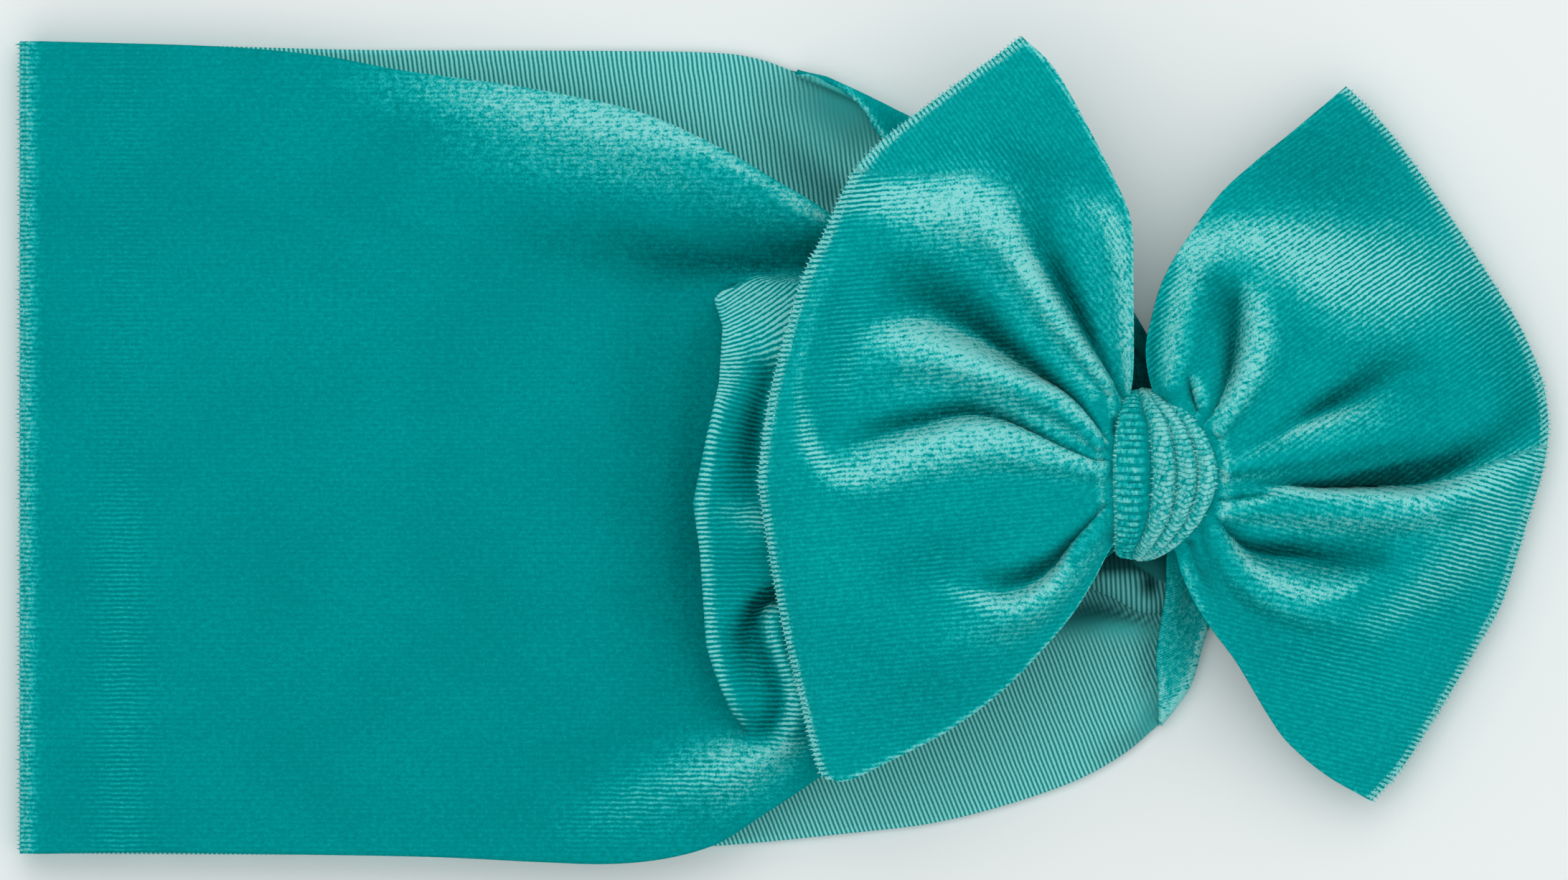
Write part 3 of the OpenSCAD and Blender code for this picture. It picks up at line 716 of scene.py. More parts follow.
rightLoop = {
    "fold": [[33, -51.8], [37.6, -46.8], [42, -40.2], [46.2, -33.4], [50, -27], [53.4, -21], [55.8, -14],
             [58, -6.6], [60.2, 0.6], [61.1, 7.5], [60.1, 15], [56.5, 23.6], [51, 32.4], [45.4, 41],
             [39.6, 49.4], [34.4, 56], [29, 61.5]],
    "top": [[2, -12.2], [2.8, -15.2], [4.1, -18.4], [5.8, -21.6], [8.4, -25.4], [12, -30.2], [17, -38.5],
            [20.3, -43], [26, -47.8], [33, -51.8]],
    "bottom": [[-1.6, 13.5], [-2.7, 19], [-2, 24], [0.9, 32.7], [8.4, 43.7], [14.2, 49.3], [20, 54],
               [29, 61.5]],
    "rootFrom": 152, "rootTo": 28, "size": [0.992, 0.993], "shift": -0.3, "low": 1.4, "sideDrop": -1.2,
    "edgePale": 0.1, "rowTurns": [34, -13],
    "rowSeam": [[9, -2.3], [21, -2], [35, -2], [44, -0.9], [52, 1.7], [59, 4.4], [62, 5.5]],
    # Strokes of painted highlight; shaded holds strokes of painted shade
    "highlightStrokes": [
        ([[3.4, 36.4], [8, 36.8], [14, 36.9], [20, 35.6], [26, 33]], [0.55, 0.72, 0.74, 0.66, 0.45],
         [2.8, 3.2, 3.5, 4.4, 5]),
        ([[26, 33], [31, 31], [37, 30.8], [43, 31]], [0.45, 0.5, 0.45, 0.2], [6, 7.4, 7.6, 6.5]),
        ([[0.9, 14.8], [1.2, 18], [1.6, 22], [2.3, 26], [3.4, 30], [5, 33.8]],
         [0.4, 0.56, 0.6, 0.62, 0.62, 0.5], [1.2, 1.6, 1.8, 1.9, 2.2, 2.4]),
        ([[13.8, 29.6], [14.5, 25.6], [14.4, 21.4], [13.6, 18], [12.3, 14.9], [10.9, 12.2], [9.6, 9.8],
          [8.6, 7.6]], [0.4, 0.62, 0.68, 0.68, 0.66, 0.6, 0.5, 0.35],
         [1.6, 2.2, 2.6, 2.6, 2.3, 1.9, 1.5, 1.0]),
        ([[18.6, 4.8], [20.8, 6.4], [24, 7.4], [27, 8.5], [30, 9.4], [33.5, 10.4]],
         [0.1, 0.4, 0.44, 0.38, 0.22, 0.05], [0.4, 0.7, 0.9, 0.8, 0.7, 0.6]),
        ([[9.6, -6.4], [14, -6.8], [20, -7.4], [30, -7.4], [42, -7]], [0.3, 0.32, 0.34, 0.36, 0.3],
         [0.9, 1.2, 1.8, 2.4, 2.8]),
        ([[9.4, -0.6], [14, -0.2], [19, 0.8]], [0.3, 0.24, 0.1], [0.9, 0.8, 0.6]),
        ([[8.6, 7], [9.4, 3], [9.6, -1], [9.2, -6]], [0.3, 0.36, 0.36, 0.3], [0.8, 0.9, 0.9, 0.8]),
        ([[10, -15.6], [14, -19], [20, -21.4], [27, -22.4]], [0.1, 0.18, 0.2, 0.1], [1.0, 1.4, 1.8, 2]),
        ([[8.6, -5.2], [12, -4.9], [15.5, -4.1], [18.5, -2.7], [23.5, -3], [28, -3.1], [33, -3.3],
          [38, -3.6], [42, -3.4], [46, -2.5], [50, -1.1], [54, 0.9], [58.6, 3]],
         [0.3, 0.3, 0.34, 0.55, 0.66, 0.66, 0.62, 0.58, 0.54, 0.5, 0.46, 0.42, 0.4],
         [0.4, 0.5, 0.6, 0.8, 1.0, 1.1, 1.4, 1.8, 2.0, 2.0, 1.9, 1.8, 1.6]),
        ([[10.3, -9.8], [11.4, -12.3], [13.5, -14.8], [16.3, -16.6], [20, -18.2], [24, -19], [28, -18.4],
          [31, -17.2]], [0.4, 0.5, 0.52, 0.55, 0.55, 0.5, 0.36, 0.1],
         [0.5, 0.6, 0.8, 1.1, 1.3, 1.2, 1.1, 1.0]),
        ([[3.2, -14], [4.4, -18], [7, -23]], [0.3, 0.35, 0.2], [0.5, 0.5, 0.5]),
        ([[52, -3], [50, -9], [45, -14], [40, -18.4], [33, -23.4]], [0.28, 0.24, 0.22, 0.2, 0.14],
         [4.5, 5, 4.6, 3.2, 2.6]),
        ([[5.8, 11], [5.4, 13.4], [4.6, 15.6]], [0.5, 0.5, 0.3], [0.6, 0.8, 0.8]),
    ],
    "shaded": [
        ([[23, 50], [29, 48], [36, 43]], [0.26, 0.28, 0.18], [10, 10, 6]),
        ([[47, 29], [53, 20], [57, 11]], [0.1, 0.2, 0.2], [4.5, 5, 4]),
        ([[28, 4.6], [36, 8.2], [42, 11]], [0.1, 0.16, 0.16], [2.4, 3.4, 4]),
        ([[15, 3.4], [20, 4.2]], [0.14, 0.14], [1, 1.2]),
        ([[14, -13.4], [20, -15], [27, -15.2], [34, -13.4]], [0.3, 0.36, 0.36, 0.24], [1.2, 1.5, 1.8, 2.2]),
        ([[50, -12], [44, -19]], [0.12, 0.16], [5, 6]),
        ([[14, -25], [22, -28], [32, -27]], [0.12, 0.14, 0.1], [3.4, 4, 4]),
        ([[6.4, 30], [5.6, 23], [5.8, 17]], [0.14, 0.16, 0.14], [2.2, 2.0, 1.6]),
        ([[6, -8.6], [6.6, -12], [7.8, -16]], [0.3, 0.34, 0.1], [0.8, 0.9, 1.2]),
        ([[8, 31], [9.2, 27.5], [10, 23.5], [10.2, 19.6], [9.7, 16], [8.8, 13], [8, 11]],
         [0.2, 0.34, 0.46, 0.56, 0.55, 0.36, 0.1], [3.0, 2.6, 2.0, 1.5, 1.2, 0.8, 0.6]),
        ([[22, 9.6], [25, 11.2], [28, 13], [31, 14.8], [34, 16.6], [37.5, 18]],
         [0.3, 0.42, 0.4, 0.3, 0.16, 0.05], [0.8, 1.3, 1.7, 1.9, 2.0, 2]),
        ([[20, -1.3], [24, -1.3], [27.5, -0.9], [31, -0.4], [35, 0.3], [39, 1.3], [43, 1.8], [47, 3.2],
          [51, 5.2], [55, 8], [57, 12]], [0.3, 0.5, 0.6, 0.68, 0.7, 0.66, 0.6, 0.52, 0.42, 0.3, 0.1],
         [0.4, 0.6, 0.9, 1.3, 1.8, 2.1, 2.4, 2.8, 3, 3, 3]),
        ([[10.6, -9.6], [13.4, -10.9], [17, -11.4], [21, -12], [26, -13.2], [32, -12.8]],
         [0.2, 0.36, 0.45, 0.42, 0.34, 0.2], [0.5, 0.8, 1.1, 1.6, 2.2, 2.6]),
        ([[8.6, -4], [11, -3.8], [14, -3.5], [18, -3.2]], [0.6, 0.7, 0.7, 0.4], [0.5, 0.5, 0.5, 0.4]),
        ([[3.6, 14.6], [4.2, 12.4], [4.9, 10.4]], [0.3, 0.6, 0.5], [0.8, 0.8, 0.6]),
        ([[-1.6, 14.5], [-1.8, 20], [-0.9, 26]], [0.3, 0.35, 0.2], [0.8, 0.9, 0.8]),
    ],
    "combed": [
        ([[20, 35.5], [29, 32.6], [38, 31], [48, 29]], [0.5, 1.0, 1.2, 1.2], [6, 8, 8.5, 7]),
        ([[42, 43], [50, 32], [56, 21], [58.6, 10]], [0.9, 1.1, 1.1, 0.7], [3.4, 4, 4, 3]),
        ([[48, 21], [53, 14]], [0.8, 0.6], [4, 4]),
        ([[57, 1], [53, -6], [49, -13], [42, -19], [34, -23], [28, -27]], [1.0, 1.3, 1.3, 1.2, 1.0, 0.6],
         [4, 6, 6, 4.4, 4, 4]),
        ([[52, -24], [46, -33], [38, -44]], [0.9, 0.8, 0.6], [2.2, 2.2, 2]),
        ([[22, -29], [30, -33], [37, -34]], [0.5, 0.55, 0.45], [4, 5, 4]),
        ([[-1.5, 16], [-1.2, 24], [1.5, 32]], [0.8, 0.8, 0.4], [1.4, 1.4, 1.4]),
    ],
}
rightFolds = [
    ([[6.6, 8.2], [8.1, 10.4], [9.7, 13.2], [10.7, 16], [11.2, 18.8], [11.5, 21.6], [11.6, 24.6],
      [11.6, 28], [10.9, 32]], [-0.8, -1.6, -3.0, -4.0, -4.2, -3.8, -2.8, -1.5, -0.3],
     [0.5, 0.7, 1.0, 1.2, 1.3, 1.4, 1.7, 2.1, 2.6], 1.9),
    ([[8.8, 7], [11, 11], [13.4, 15.4], [15, 19.6], [15.6, 24], [14.6, 29], [11.5, 33]],
     [1.0, 1.8, 2.2, 2.3, 2.2, 1.4, 0.4], [1.0, 1.6, 2.2, 2.6, 2.8, 3.2, 4], 1.0),
    ([[1, 14], [2.6, 20], [4.2, 27], [7, 32]], [0.8, 1.6, 1.8, 0.8], [2, 2.6, 3, 3], 1.0),
    ([[5, 10], [4.2, 12.6], [3.4, 15.6]], [-1.6, -1.6, -0.3], [0.7, 0.8, 1.0], 1.0),
    ([[16, 30], [22, 27], [29, 25], [40, 23.5], [51, 21]], [0.8, 1.8, 2.2, 2.0, 0.8], [4.5, 6, 7, 7, 6],
     1.0),
    ([[13, 4], [17, 5.6], [20.6, 7.6], [23.5, 8.9], [26.5, 10.1], [29.5, 11.3], [33, 13.1], [37, 15.6],
      [41, 18]], [-0.2, -0.9, -1.7, -2.4, -2.7, -2.6, -2.1, -1.1, -0.2],
     [0.8, 1.0, 1.2, 1.4, 1.6, 1.8, 2.1, 2.5, 3.2], 1.9),
    ([[10, 0.8], [20, 2.8], [32, 5.4], [44, 9]], [1.0, 1.7, 2.0, 1.0], [1.2, 2.2, 2.8, 3.6], 1.0),
    ([[9, -2.3], [13, -2.2], [17, -1.9], [21, -2], [25, -2.2], [30, -2.1], [35, -2], [40, -2], [44, -1.3],
      [48, -0.1], [52, 1.4], [56, 3.3], [59, 4.4]],
     [-0.2, -0.3, -0.6, -1.6, -3.2, -4.4, -4.8, -4.6, -4.0, -3.2, -2.2, -1.2, -0.4],
     [0.45, 0.5, 0.55, 0.6, 0.7, 0.8, 1.0, 1.25, 1.5, 1.8, 2.1, 2.5, 3], 2.1),
    ([[9, -6], [18, -5.4], [28, -5.6], [38, -5.4], [48, -2.4], [57, 1.4]], [0.9, 1.5, 1.9, 2.0, 1.8, 0.6],
     [1.3, 2.0, 2.4, 3, 3.2, 3.6], 1.0),
    ([[9, -8], [10.6, -10], [13, -12], [16.5, -13], [20.5, -13.4], [26, -14], [31, -13.6], [37, -12.4]],
     [-0.8, -1.8, -2.6, -2.8, -2.6, -2.2, -1.5, -0.3], [0.6, 1.0, 1.5, 1.8, 2.2, 2.6, 3.0, 3.6], 1.2),
    ([[7.8, -9.4], [9.6, -13.4], [13.4, -17.6], [19, -20.4], [25, -21.4], [33, -20]],
     [1.0, 1.6, 2.0, 1.9, 1.6, 0.3], [1.0, 1.6, 2.0, 2.6, 3.2, 4.4], 1.0),
    ([[4, -11], [5.5, -16], [9, -22]], [-1.4, -1.2, -0.3], [0.8, 1.2, 2], 1.0),
]


# Rows of pile run square to the fold edge, so each side of the deep fold has its own direction, in degrees
def fannedRows(plan, shape):
    seam = np.array(shape["rowSeam"])
    beyond = plan[..., 1] > np.interp(plan[..., 0], seam[:, 0], seam[:, 1])
    turn = np.radians(np.where(beyond, shape["rowTurns"][0], shape["rowTurns"][1]))
    return plan[..., 1] * np.cos(turn) - plan[..., 0] * np.sin(turn)


loopMake = {
    "rows": 118, "rimRows": 26, "rimShare": 0.12, "columns": 211,
    "rootHigh": 8.2, "rootPower": 0.7, "rootLow": 0.8, "puff": 9.6, "mouth": 0.55, "turn": 1.9,
    "edgeShare": 0.16, "mouthShare": 0.14,
    "puffFrom": 1.4, "creaseFrom": (0.05, 0.3), "crownRound": 9, "creaseRound": 10, "rimRound": 24,
    "leastGap": 0.5, "softness": 1.6, "lowerStep": 2, "lastLower": 0.9999,
    "rimWide": 0.013, "sideWide": 0.006, "sideFrom": 0.1, "rimPale": 0.8, "restPale": 0.05,
    "rowsShown": 0.4, "rowsFrom": 0.35, "rimRowsShown": 1.6, "thick": 1.0,
    "tipRows": (1, 5, 9), "tipOut": 0.5, "tipLift": 0.05,
    "tipLong": 0.5, "tipPitch": 0.75, "tipStout": 1.4, "tipSeed": 11,
    "outPlace": (40, 100), "facePlace": (0, 100),
}


def bowLoop(name, shape, folds, mirrored):
    make = loopMake
    angles = np.radians(np.linspace(shape["rootFrom"], shape["rootTo"], rootMake["columns"]))
    into = rootMake["into"]
    root = knotRoot(knotRight, angles, -into) if mirrored else knotRoot(knotLeft, angles, into)
    us = sharesToRim(make["rows"], make["rimRows"], make["rimShare"])
    vs = np.linspace(0, 1, make["columns"])
    edges = ([list(root[0])] + shape["top"], [list(root[-1])] + shape["bottom"])
    middle = np.array([knot["x"], knot["y"]])

    def planAt(shares):
        patch = clothPatch(root, shape["fold"], *edges, shares, vs)
        return patch * shape["size"] + np.array([shape["shift"], 0])

    plan = planAt(us)
    u = us[:, None]
    v = vs[None, :]
    rootShares = np.linspace(0, 1, rootMake["columns"])
    rootSwell = np.abs(np.sin(np.interp(vs, rootShares, angles))) ** make["rootPower"]
    rootHigh = knot["z"] + make["rootHigh"] * rootSwell
    rootLow = knot["z"] + make["rootLow"]
    low = mix(shape["low"] - shape["sideDrop"], shape["low"], plateau(v, make["edgeShare"]))
    turn = make["turn"]
    under = mix(rootLow, low, ease(u))
    crown = mix(rootHigh[None, :] - rootLow, make["puff"], ease(u * make["puffFrom"]))
    crown = crown * mix(make["mouth"], 1, plateau(v, make["mouthShare"])) - turn
    creases = foldsTogether(plan, folds) * ease(u / make["creaseFrom"][0] + make["creaseFrom"][1])
    top = under + turn + crown * rounded(u, make["crownRound"]) + creases * rounded(u, make["creaseRound"])
    least = under + turn + make["leastGap"]
    soft = make["softness"]
    top = least + np.logaddexp(0, (top - least) * soft) / soft * rounded(u, make["rimRound"])
    lowerUs = us[::-1][::make["lowerStep"]]
    lowerUs = lowerUs[lowerUs < make["lastLower"]]
    lowerPlan = planAt(lowerUs)
    lu = lowerUs[:, None]
    lowerHeight = mix(rootLow, low, ease(lu)) + turn - turn * rounded(lu, make["rimRound"])
    grid = np.concatenate([np.concatenate([plan + middle, top[..., None]], axis=-1),
                           np.concatenate([lowerPlan + middle, lowerHeight[..., None]], axis=-1)])
    normals = upright(gridNormals(grid), *make["outPlace"])
    allU = np.concatenate([us, lowerUs])[:, None] * np.ones((1, len(vs)))
    rim = bell(allU, 1, make["rimWide"])
    sides = (bell(v, 0, make["sideWide"]) + bell(v, 1, make["sideWide"])) * ease(allU / make["sideFrom"])
    flatPart = np.zeros((len(lowerUs), len(vs), 1))
    relief = np.concatenate([np.concatenate([plan, creases[..., None]], axis=-1),
                             np.concatenate([lowerPlan, flatPart], axis=-1)])
    # Painted highlight along the rim and the side edges, and a faint one all over
    pale = make["rimPale"] * rim + shape["edgePale"] * sides + make["restPale"]
    rows = make["rowsShown"] * ease(allU / make["rowsFrom"]) + make["rimRowsShown"] * rim
    marks = pileMarks(grid, relief, shape["highlightStrokes"], shape["shaded"], shape["combed"], pale, rowsShown=rows)
    marks["across"] = fannedRows(np.concatenate([plan, lowerPlan]), shape)
    flip = facesUp(grid, *make["facePlace"])
    piece = sheetFromGrid(name, grid, marks, make["thick"], velvet, ribbed, flip)
    tips = []
    for back in make["tipRows"]:
        out = normals[len(us) - back]
        tips.append((grid[len(us) - back] + out * make["tipOut"], out + np.array([0, 0, make["tipLift"]])))
    return piece, tips


for name, shape, folds, mirrored, body, node in (
        ("bowLeftCloth", leftLoop, leftFolds, False, "left_loop", "bow_left_loop"),
        ("bowRightCloth", rightLoop, rightFolds, True, "right_loop", "bow_right_loop")):
    piece, tips = bowLoop(name, shape, folds, mirrored)
    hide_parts(node)
    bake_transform(piece)
    for k, (edge, out) in enumerate(tips):
        pileTips(f"{name}Tips{k}", edge, out, loopMake["tipLong"], loopMake["tipPitch"], body,
                 loopMake["tipSeed"] + k, loopMake["tipStout"], paleTips)
print("bow loops made")


# The band, with its tuck and nape fold above and its turned end below
band = {
    "nape": [[-177.4, 68.5], [-177.4, 20], [-177.4, -20], [-177.4, -60]],
    "frontTop": [[-24, 19], [-40, 31.5], [-52.8, 41.2], [-62.1, 46.8], [-70.7, 51.8], [-82, 56.9],
                 [-93.4, 59.7], [-104.7, 61.7], [-120.7, 63.9], [-133.2, 66.2], [-150, 67.7],
                 [-177.4, 68.5]],
    "frontBottom": [[-24, -24], [-40, -37], [-54.7, -48], [-63.8, -54.1], [-70.7, -58.4], [-78.6, -60.7],
                    [-87.7, -61.6], [-99.1, -61.3], [-116, -60.5], [-138.8, -60.1], [-161.6, -59.8],
                    [-177.4, -60]],
    "backTop": [[-177.4, 68.5], [-150.2, 67.8], [-127.5, 67.2], [-104.7, 67.1], [-85, 67], [-70.7, 66.7],
                [-64, 65.7], [-58.2, 63.6]],
    "backBottom": [[-177.4, -60], [-130, -60.2], [-95, -59.8], [-70.7, -58.8], [-47.9, -56.6],
                   [-36.6, -55.2], [-25.2, -52.4], [-13.8, -48.4], [-6, -44], [-0.8, -39.5]],
    "turnFold": [[-58.2, 63.6], [-48.4, 59.2], [-41, 55], [-22, 41.2], [-10, 29.5], [-5, 22.4],
                 [-2.8, 20], [2, 15], [8, 7], [11.2, -2], [10.8, -10], [8.8, -17], [6.4, -22.8],
                 [4.9, -27], [4, -30.6], [3, -33.6], [1.3, -36.6], [-0.8, -39.5]],
    "turnTop": [[-14, 23.5], [-25, 33.5], [-36, 44.5], [-44.7, 53.2], [-47.6, 57.8], [-51.3, 61.2],
                [-54.5, 63], [-58.2, 63.9]],
    "turnBottom": [[0.4, -13], [0.2, -19], [-1.1, -27.8], [-0.9, -34], [-0.8, -39.5]],
    "poufEdge": [[40, -70], [31.3, -70.2], [27.4, -70.7], [23.4, -69.4], [14.3, -70], [5.8, -72],
                 [-4.5, -74.1], [-12.4, -73], [-20, -72.5], [-27.2, -72], [-32.9, -70.1], [-38.5, -67.6],
                 [-44, -66]],
    "frontZ": 7.0, "backZ": 0.6, "rootZ": 8.0, "thick": 1.0,
    "tuckH": 7.2, "tuckX": -67.5, "tuckStep": 5.0, "tuckPull": 17.5,
    # Strokes of painted highlight on the front layer; shaded holds strokes of painted shade
    "highlightStrokes": [
        ([[-132, 62], [-118, 61.5], [-105, 59.6], [-94, 57.6], [-84.5, 55.6], [-77, 53.6], [-71, 50.6],
          [-64, 46.6], [-54, 40.6]], [0.03, 0.3, 0.62, 0.75, 0.82, 0.8, 0.6, 0.55, 0.55],
         [4, 4.6, 4.6, 4, 3.4, 2.6, 1.7, 1.2, 1.1]),
        ([[-112, 52], [-95, 50.4], [-82, 48.5], [-72, 45.6], [-58, 39.5]], [0.1, 0.3, 0.34, 0.24, 0.14],
         [5, 5, 4.4, 4, 3]),
        ([[-60, -42.6], [-63, -43.8], [-66.5, -44.8], [-70, -45.8], [-74, -46.8], [-78, -48.2],
          [-83, -50.2], [-88, -52.6], [-95, -56]], [0.5, 0.56, 0.6, 0.54, 0.38, 0.26, 0.16, 0.1, 0.04],
         [1.2, 1.9, 3.0, 3.9, 4.1, 4, 3.8, 3.6, 3.6]),
        ([[-57.4, -39], [-58.6, -43], [-62, -47], [-69, -51]], [0.5, 0.4, 0.28, 0.16], [1.6, 2.2, 2.8, 3]),
        ([[-88, -56], [-76, -54], [-65, -50]], [0.06, 0.1, 0.08], [3.4, 4, 4]),
    ],
    "shaded": [
        ([[-104, 38], [-90, 36.6], [-78, 34.2], [-66, 33.2], [-57, 33.2]], [0.1, 0.26, 0.45, 0.62, 0.55],
         [6, 5.4, 4.4, 3.2, 2.8]),
        ([[-79, 30], [-81, 12], [-81, -10], [-77.5, -34]], [0.12, 0.2, 0.2, 0.1], [6, 7, 7, 5]),
        ([[-73, 26], [-74.5, 10], [-76, -6], [-75, -22], [-71.5, -36]], [0.12, 0.24, 0.24, 0.2, 0.1],
         [2.6, 3.2, 3.2, 3, 2.6]),
    ],
    "combed": [
        ([[-92, -55], [-84, -52], [-76, -49], [-68, -48]], [0.5, 0.8, 0.6, 0.3], [4, 4.6, 4, 3]),
    ],
    # Strokes of painted highlight on the pouf, then of painted shade
    "poufHighlightStrokes": [
        ([[-70, 27.6], [-67, 27.4], [-63.5, 26.6], [-59.5, 25]], [0.5, 0.66, 0.66, 0.6],
         [2.2, 3.0, 3.4, 3.6]),
        ([[-69, 23.6], [-66, 21], [-62, 20]], [0.36, 0.26, 0.3], [1.8, 2.4, 2.8]),
        ([[-69.2, 22], [-68.6, 18], [-69, 14.6], [-70.4, 10.4]], [0.5, 0.52, 0.42, 0.1],
         [1.6, 2, 1.6, 1.1]),
        ([[-69.6, -5.6], [-66.6, -6.4], [-64, -7.2]], [0.14, 0.24, 0.34], [1.5, 1.8, 2]),
        ([[-62.4, -21.5], [-62, -25], [-61, -28], [-59.8, -31], [-58.9, -34], [-58.6, -37], [-59.6, -40],
          [-61.5, -42.4]], [0.4, 0.42, 0.42, 0.4, 0.46, 0.5, 0.5, 0.45],
         [0.7, 0.8, 0.7, 0.7, 0.9, 1.0, 1.2, 1.4]),
        ([[-69.8, 20], [-70.2, 12], [-71.7, 4], [-73, -5], [-72.4, -14], [-71.8, -22], [-70.8, -29],
          [-68.9, -34.4], [-66.6, -39]], [0.3, 0.5, 0.5, 0.5, 0.5, 0.48, 0.45, 0.35, 0.25],
         [0.7, 0.8, 0.8, 0.85, 0.9, 0.85, 0.8, 0.7, 0.7]),
    ],
    "poufShaded": [
        ([[-72, 32.6], [-66, 33], [-61, 32.8], [-57, 33]], [0.5, 0.75, 0.8, 0.7], [1.2, 1.3, 1.7, 1.8]),
        ([[-63.4, 15.4], [-64.6, 10], [-65.4, 5], [-65.6, 0], [-66, -3.4]], [0.3, 0.34, 0.34, 0.3, 0.15],
         [1.4, 1.8, 2.1, 2.1, 2]),
        ([[-60.6, -17.6], [-63.4, -19.4], [-66, -22.2], [-67.6, -26], [-66.6, -31]],
         [0.8, 0.7, 0.58, 0.46, 0.2], [1.2, 1.4, 1.7, 2, 2.2]),
        ([[-64.2, -24], [-62.6, -30], [-61.4, -35], [-63, -39.8]], [0.3, 0.4, 0.45, 0.4],
         [1.3, 1.5, 1.6, 1.8]),
        ([[-66, 9], [-67.8, 3.6], [-68.4, -1.6]], [0.2, 0.28, 0.28], [2.2, 2.2, 2]),
    ],
    # Strokes of painted highlight on the turned end, then painted shade on it and on the layer below
    "turnHighlightStrokes": [
        ([[6.2, -24.6], [5, -28.5], [4.1, -31.6], [2.8, -34.8], [1.2, -37.4], [-0.4, -39.2]],
         [0.5, 0.6, 0.62, 0.7, 0.7, 0.6], [0.6, 0.7, 0.8, 1.0, 1.1, 1]),
        ([[-0.6, -31], [-0.4, -35.4], [0, -37.6]], [0.25, 0.45, 0.5], [0.5, 0.6, 0.8]),
        ([[-44.5, 53.6], [-47.4, 57.8], [-51, 61]], [0.55, 0.55, 0.5], [0.5, 0.5, 0.5]),
    ],
    "turnShaded": [
        ([[-40, 52], [-44, 56.5]], [0.35, 0.15], [2, 1.6]),
    ],
    "backShaded": [
        ([[-20, -24], [-15, -22.2], [-11.5, -21.7], [-8, -21.9], [-4.5, -22.8], [-1, -23.2]],
         [0.5, 0.8, 0.9, 0.9, 0.8, 0.5], [2.4, 2.9, 2.6, 1.7, 0.9, 0.7]),
        ([[-2.2, -25], [-2.6, -31], [-2, -37]], [0.3, 0.34, 0.2], [1.4, 1.5, 1.4]),
        ([[-1.6, -38.4], [-4, -41.6], [-9, -44.4]], [0.3, 0.35, 0.2], [1.8, 2.2, 2.2]),
        ([[-63, 54], [-58, 49.6], [-53, 45]], [0.2, 0.4, 0.5], [3, 3.4, 3.4]),
        ([[-12, -15], [-5, -15], [0, -16]], [0.6, 0.9, 0.9], [3, 3.4, 3.4]),
        ([[-62, 60], [-55, 59], [-49, 54]], [0.2, 0.4, 0.4], [4.4, 5, 4]),
    ],
    "backSmooth": [
        ([[-22, -24.4], [-14, -23.2], [-7, -23.8], [-1, -25]], [0.8, 0.95, 0.95, 0.6],
         [2.4, 2.4, 2.0, 1.4]),
    ],
}
frontFolds = [
    ([[-130, 63.5], [-105, 59], [-85, 54], [-70, 48], [-57, 42]], [0.2, 1.0, 1.5, 1.8, 2.0],
     [7, 6.5, 6, 5.5, 5.5], 1.0),
    ([[-95, 38.5], [-78, 36], [-66, 34.2], [-54, 33.8]], [-0.2, -0.8, -1.4, -1.7], [8, 6, 4.4, 4], 1.0),
    ([[-60, 20], [-65, 22], [-70, 24]], [1.0, 0.8, 0.2], [4.5, 4, 3], 1.0),
    ([[-62.6, 15.4], [-64, 10], [-64.6, 4], [-64.8, -2]], [-0.8, -1.6, -1.8, -0.6], [2.2, 2.4, 2.6, 2.6],
     1.0),
    ([[-60, -9.5], [-66, -10], [-71, -9]], [1.0, 0.8, 0.2], [3.5, 3, 2.5], 1.0),
    ([[-60, -19.6], [-62.6, -20.4], [-64.6, -22.6], [-65.2, -26], [-64.4, -30], [-63, -36]],
     [-2.6, -3.0, -2.8, -2.4, -1.8, -0.6], [1.3, 1.6, 2.0, 2.2, 2.2, 2.2], 1.0),
    ([[-61.4, -22], [-60.8, -27], [-58.8, -32], [-57.8, -37], [-60, -42], [-66, -45.4], [-76, -49],
      [-90, -53]], [0.8, 1.4, 1.6, 1.7, 1.8, 2.0, 1.6, 0.3], [1.1, 1.3, 1.6, 1.8, 2.4, 3.8, 5, 6], 1.0),
]


frontMake = {
    "rootAngles": (15, 150), "columns": 166,
    "rowsToTuck": 36, "tuck": (0.31, 0.47), "tuckRows": 92, "restRows": 76,
    "tuckEnds": ((-45, 10), (34.8, 16)), "pullEnds": ((-43, 6), (31, 3.2)), "tuckSharp": 3.2,
    "poufMiddle": 71.9, "poufAt": 0.55, "poufWide": 1.5,
    "poufFrom": (0.25, 0.45), "poufEnds": ((-43.5, 4), (32, 2)),
    "fromKnot": (8, 30), "stepLeast": 0.05, "creaseFrom": (-0.1, 0.8), "leastZ": 2.6,
    "napeTurn": (82, -90), "napeRows": 22, "outPlace": (-60, 80), "facePlace": (-61, 80),
    "lowerFrom": (8, 24), "stripAt": -165, "stripWide": 4.5, "stripUpper": 0.25,
    "edgeFrom": (177, 3), "edgePale": 0.4,
    "stripPale": 0.05, "allDeep": 0.11, "lowerDeep": 0.03, "stepHollow": 0.45,
    "rows": 0.2, "stripRows": 0.9, "poufRows": 1.2, "rowsMiddle": 66,
    "rowSlope": ([-30, -25, -20, -16, -12, -6, 0], [0.7, 0.55, 0.28, 0.0, -0.3, -0.15, 0.0]),
    "tips": ((9, 0.7), (5, 0.6), (13, 0.6)), "tipOut": 0.5, "tipPitch": 0.75, "tipSeed": 31, "tipStout": 1.3,
}


# The front layer bends down at the nape to meet the layer below it
def napeFold(lastRow):
    turns = np.radians(np.linspace(*frontMake["napeTurn"], frontMake["napeRows"]))
    radius = (band["frontZ"] - band["backZ"]) / 2
    rows = []
    for t in turns:
        creases = (lastRow[:, 2] - band["frontZ"]) * max(0, np.sin(t))
        z = band["backZ"] + radius + radius * np.sin(t) + creases
        rows.append(np.stack([lastRow[:, 0] - radius * np.cos(t), lastRow[:, 1], z], axis=-1))
    return np.stack(rows)


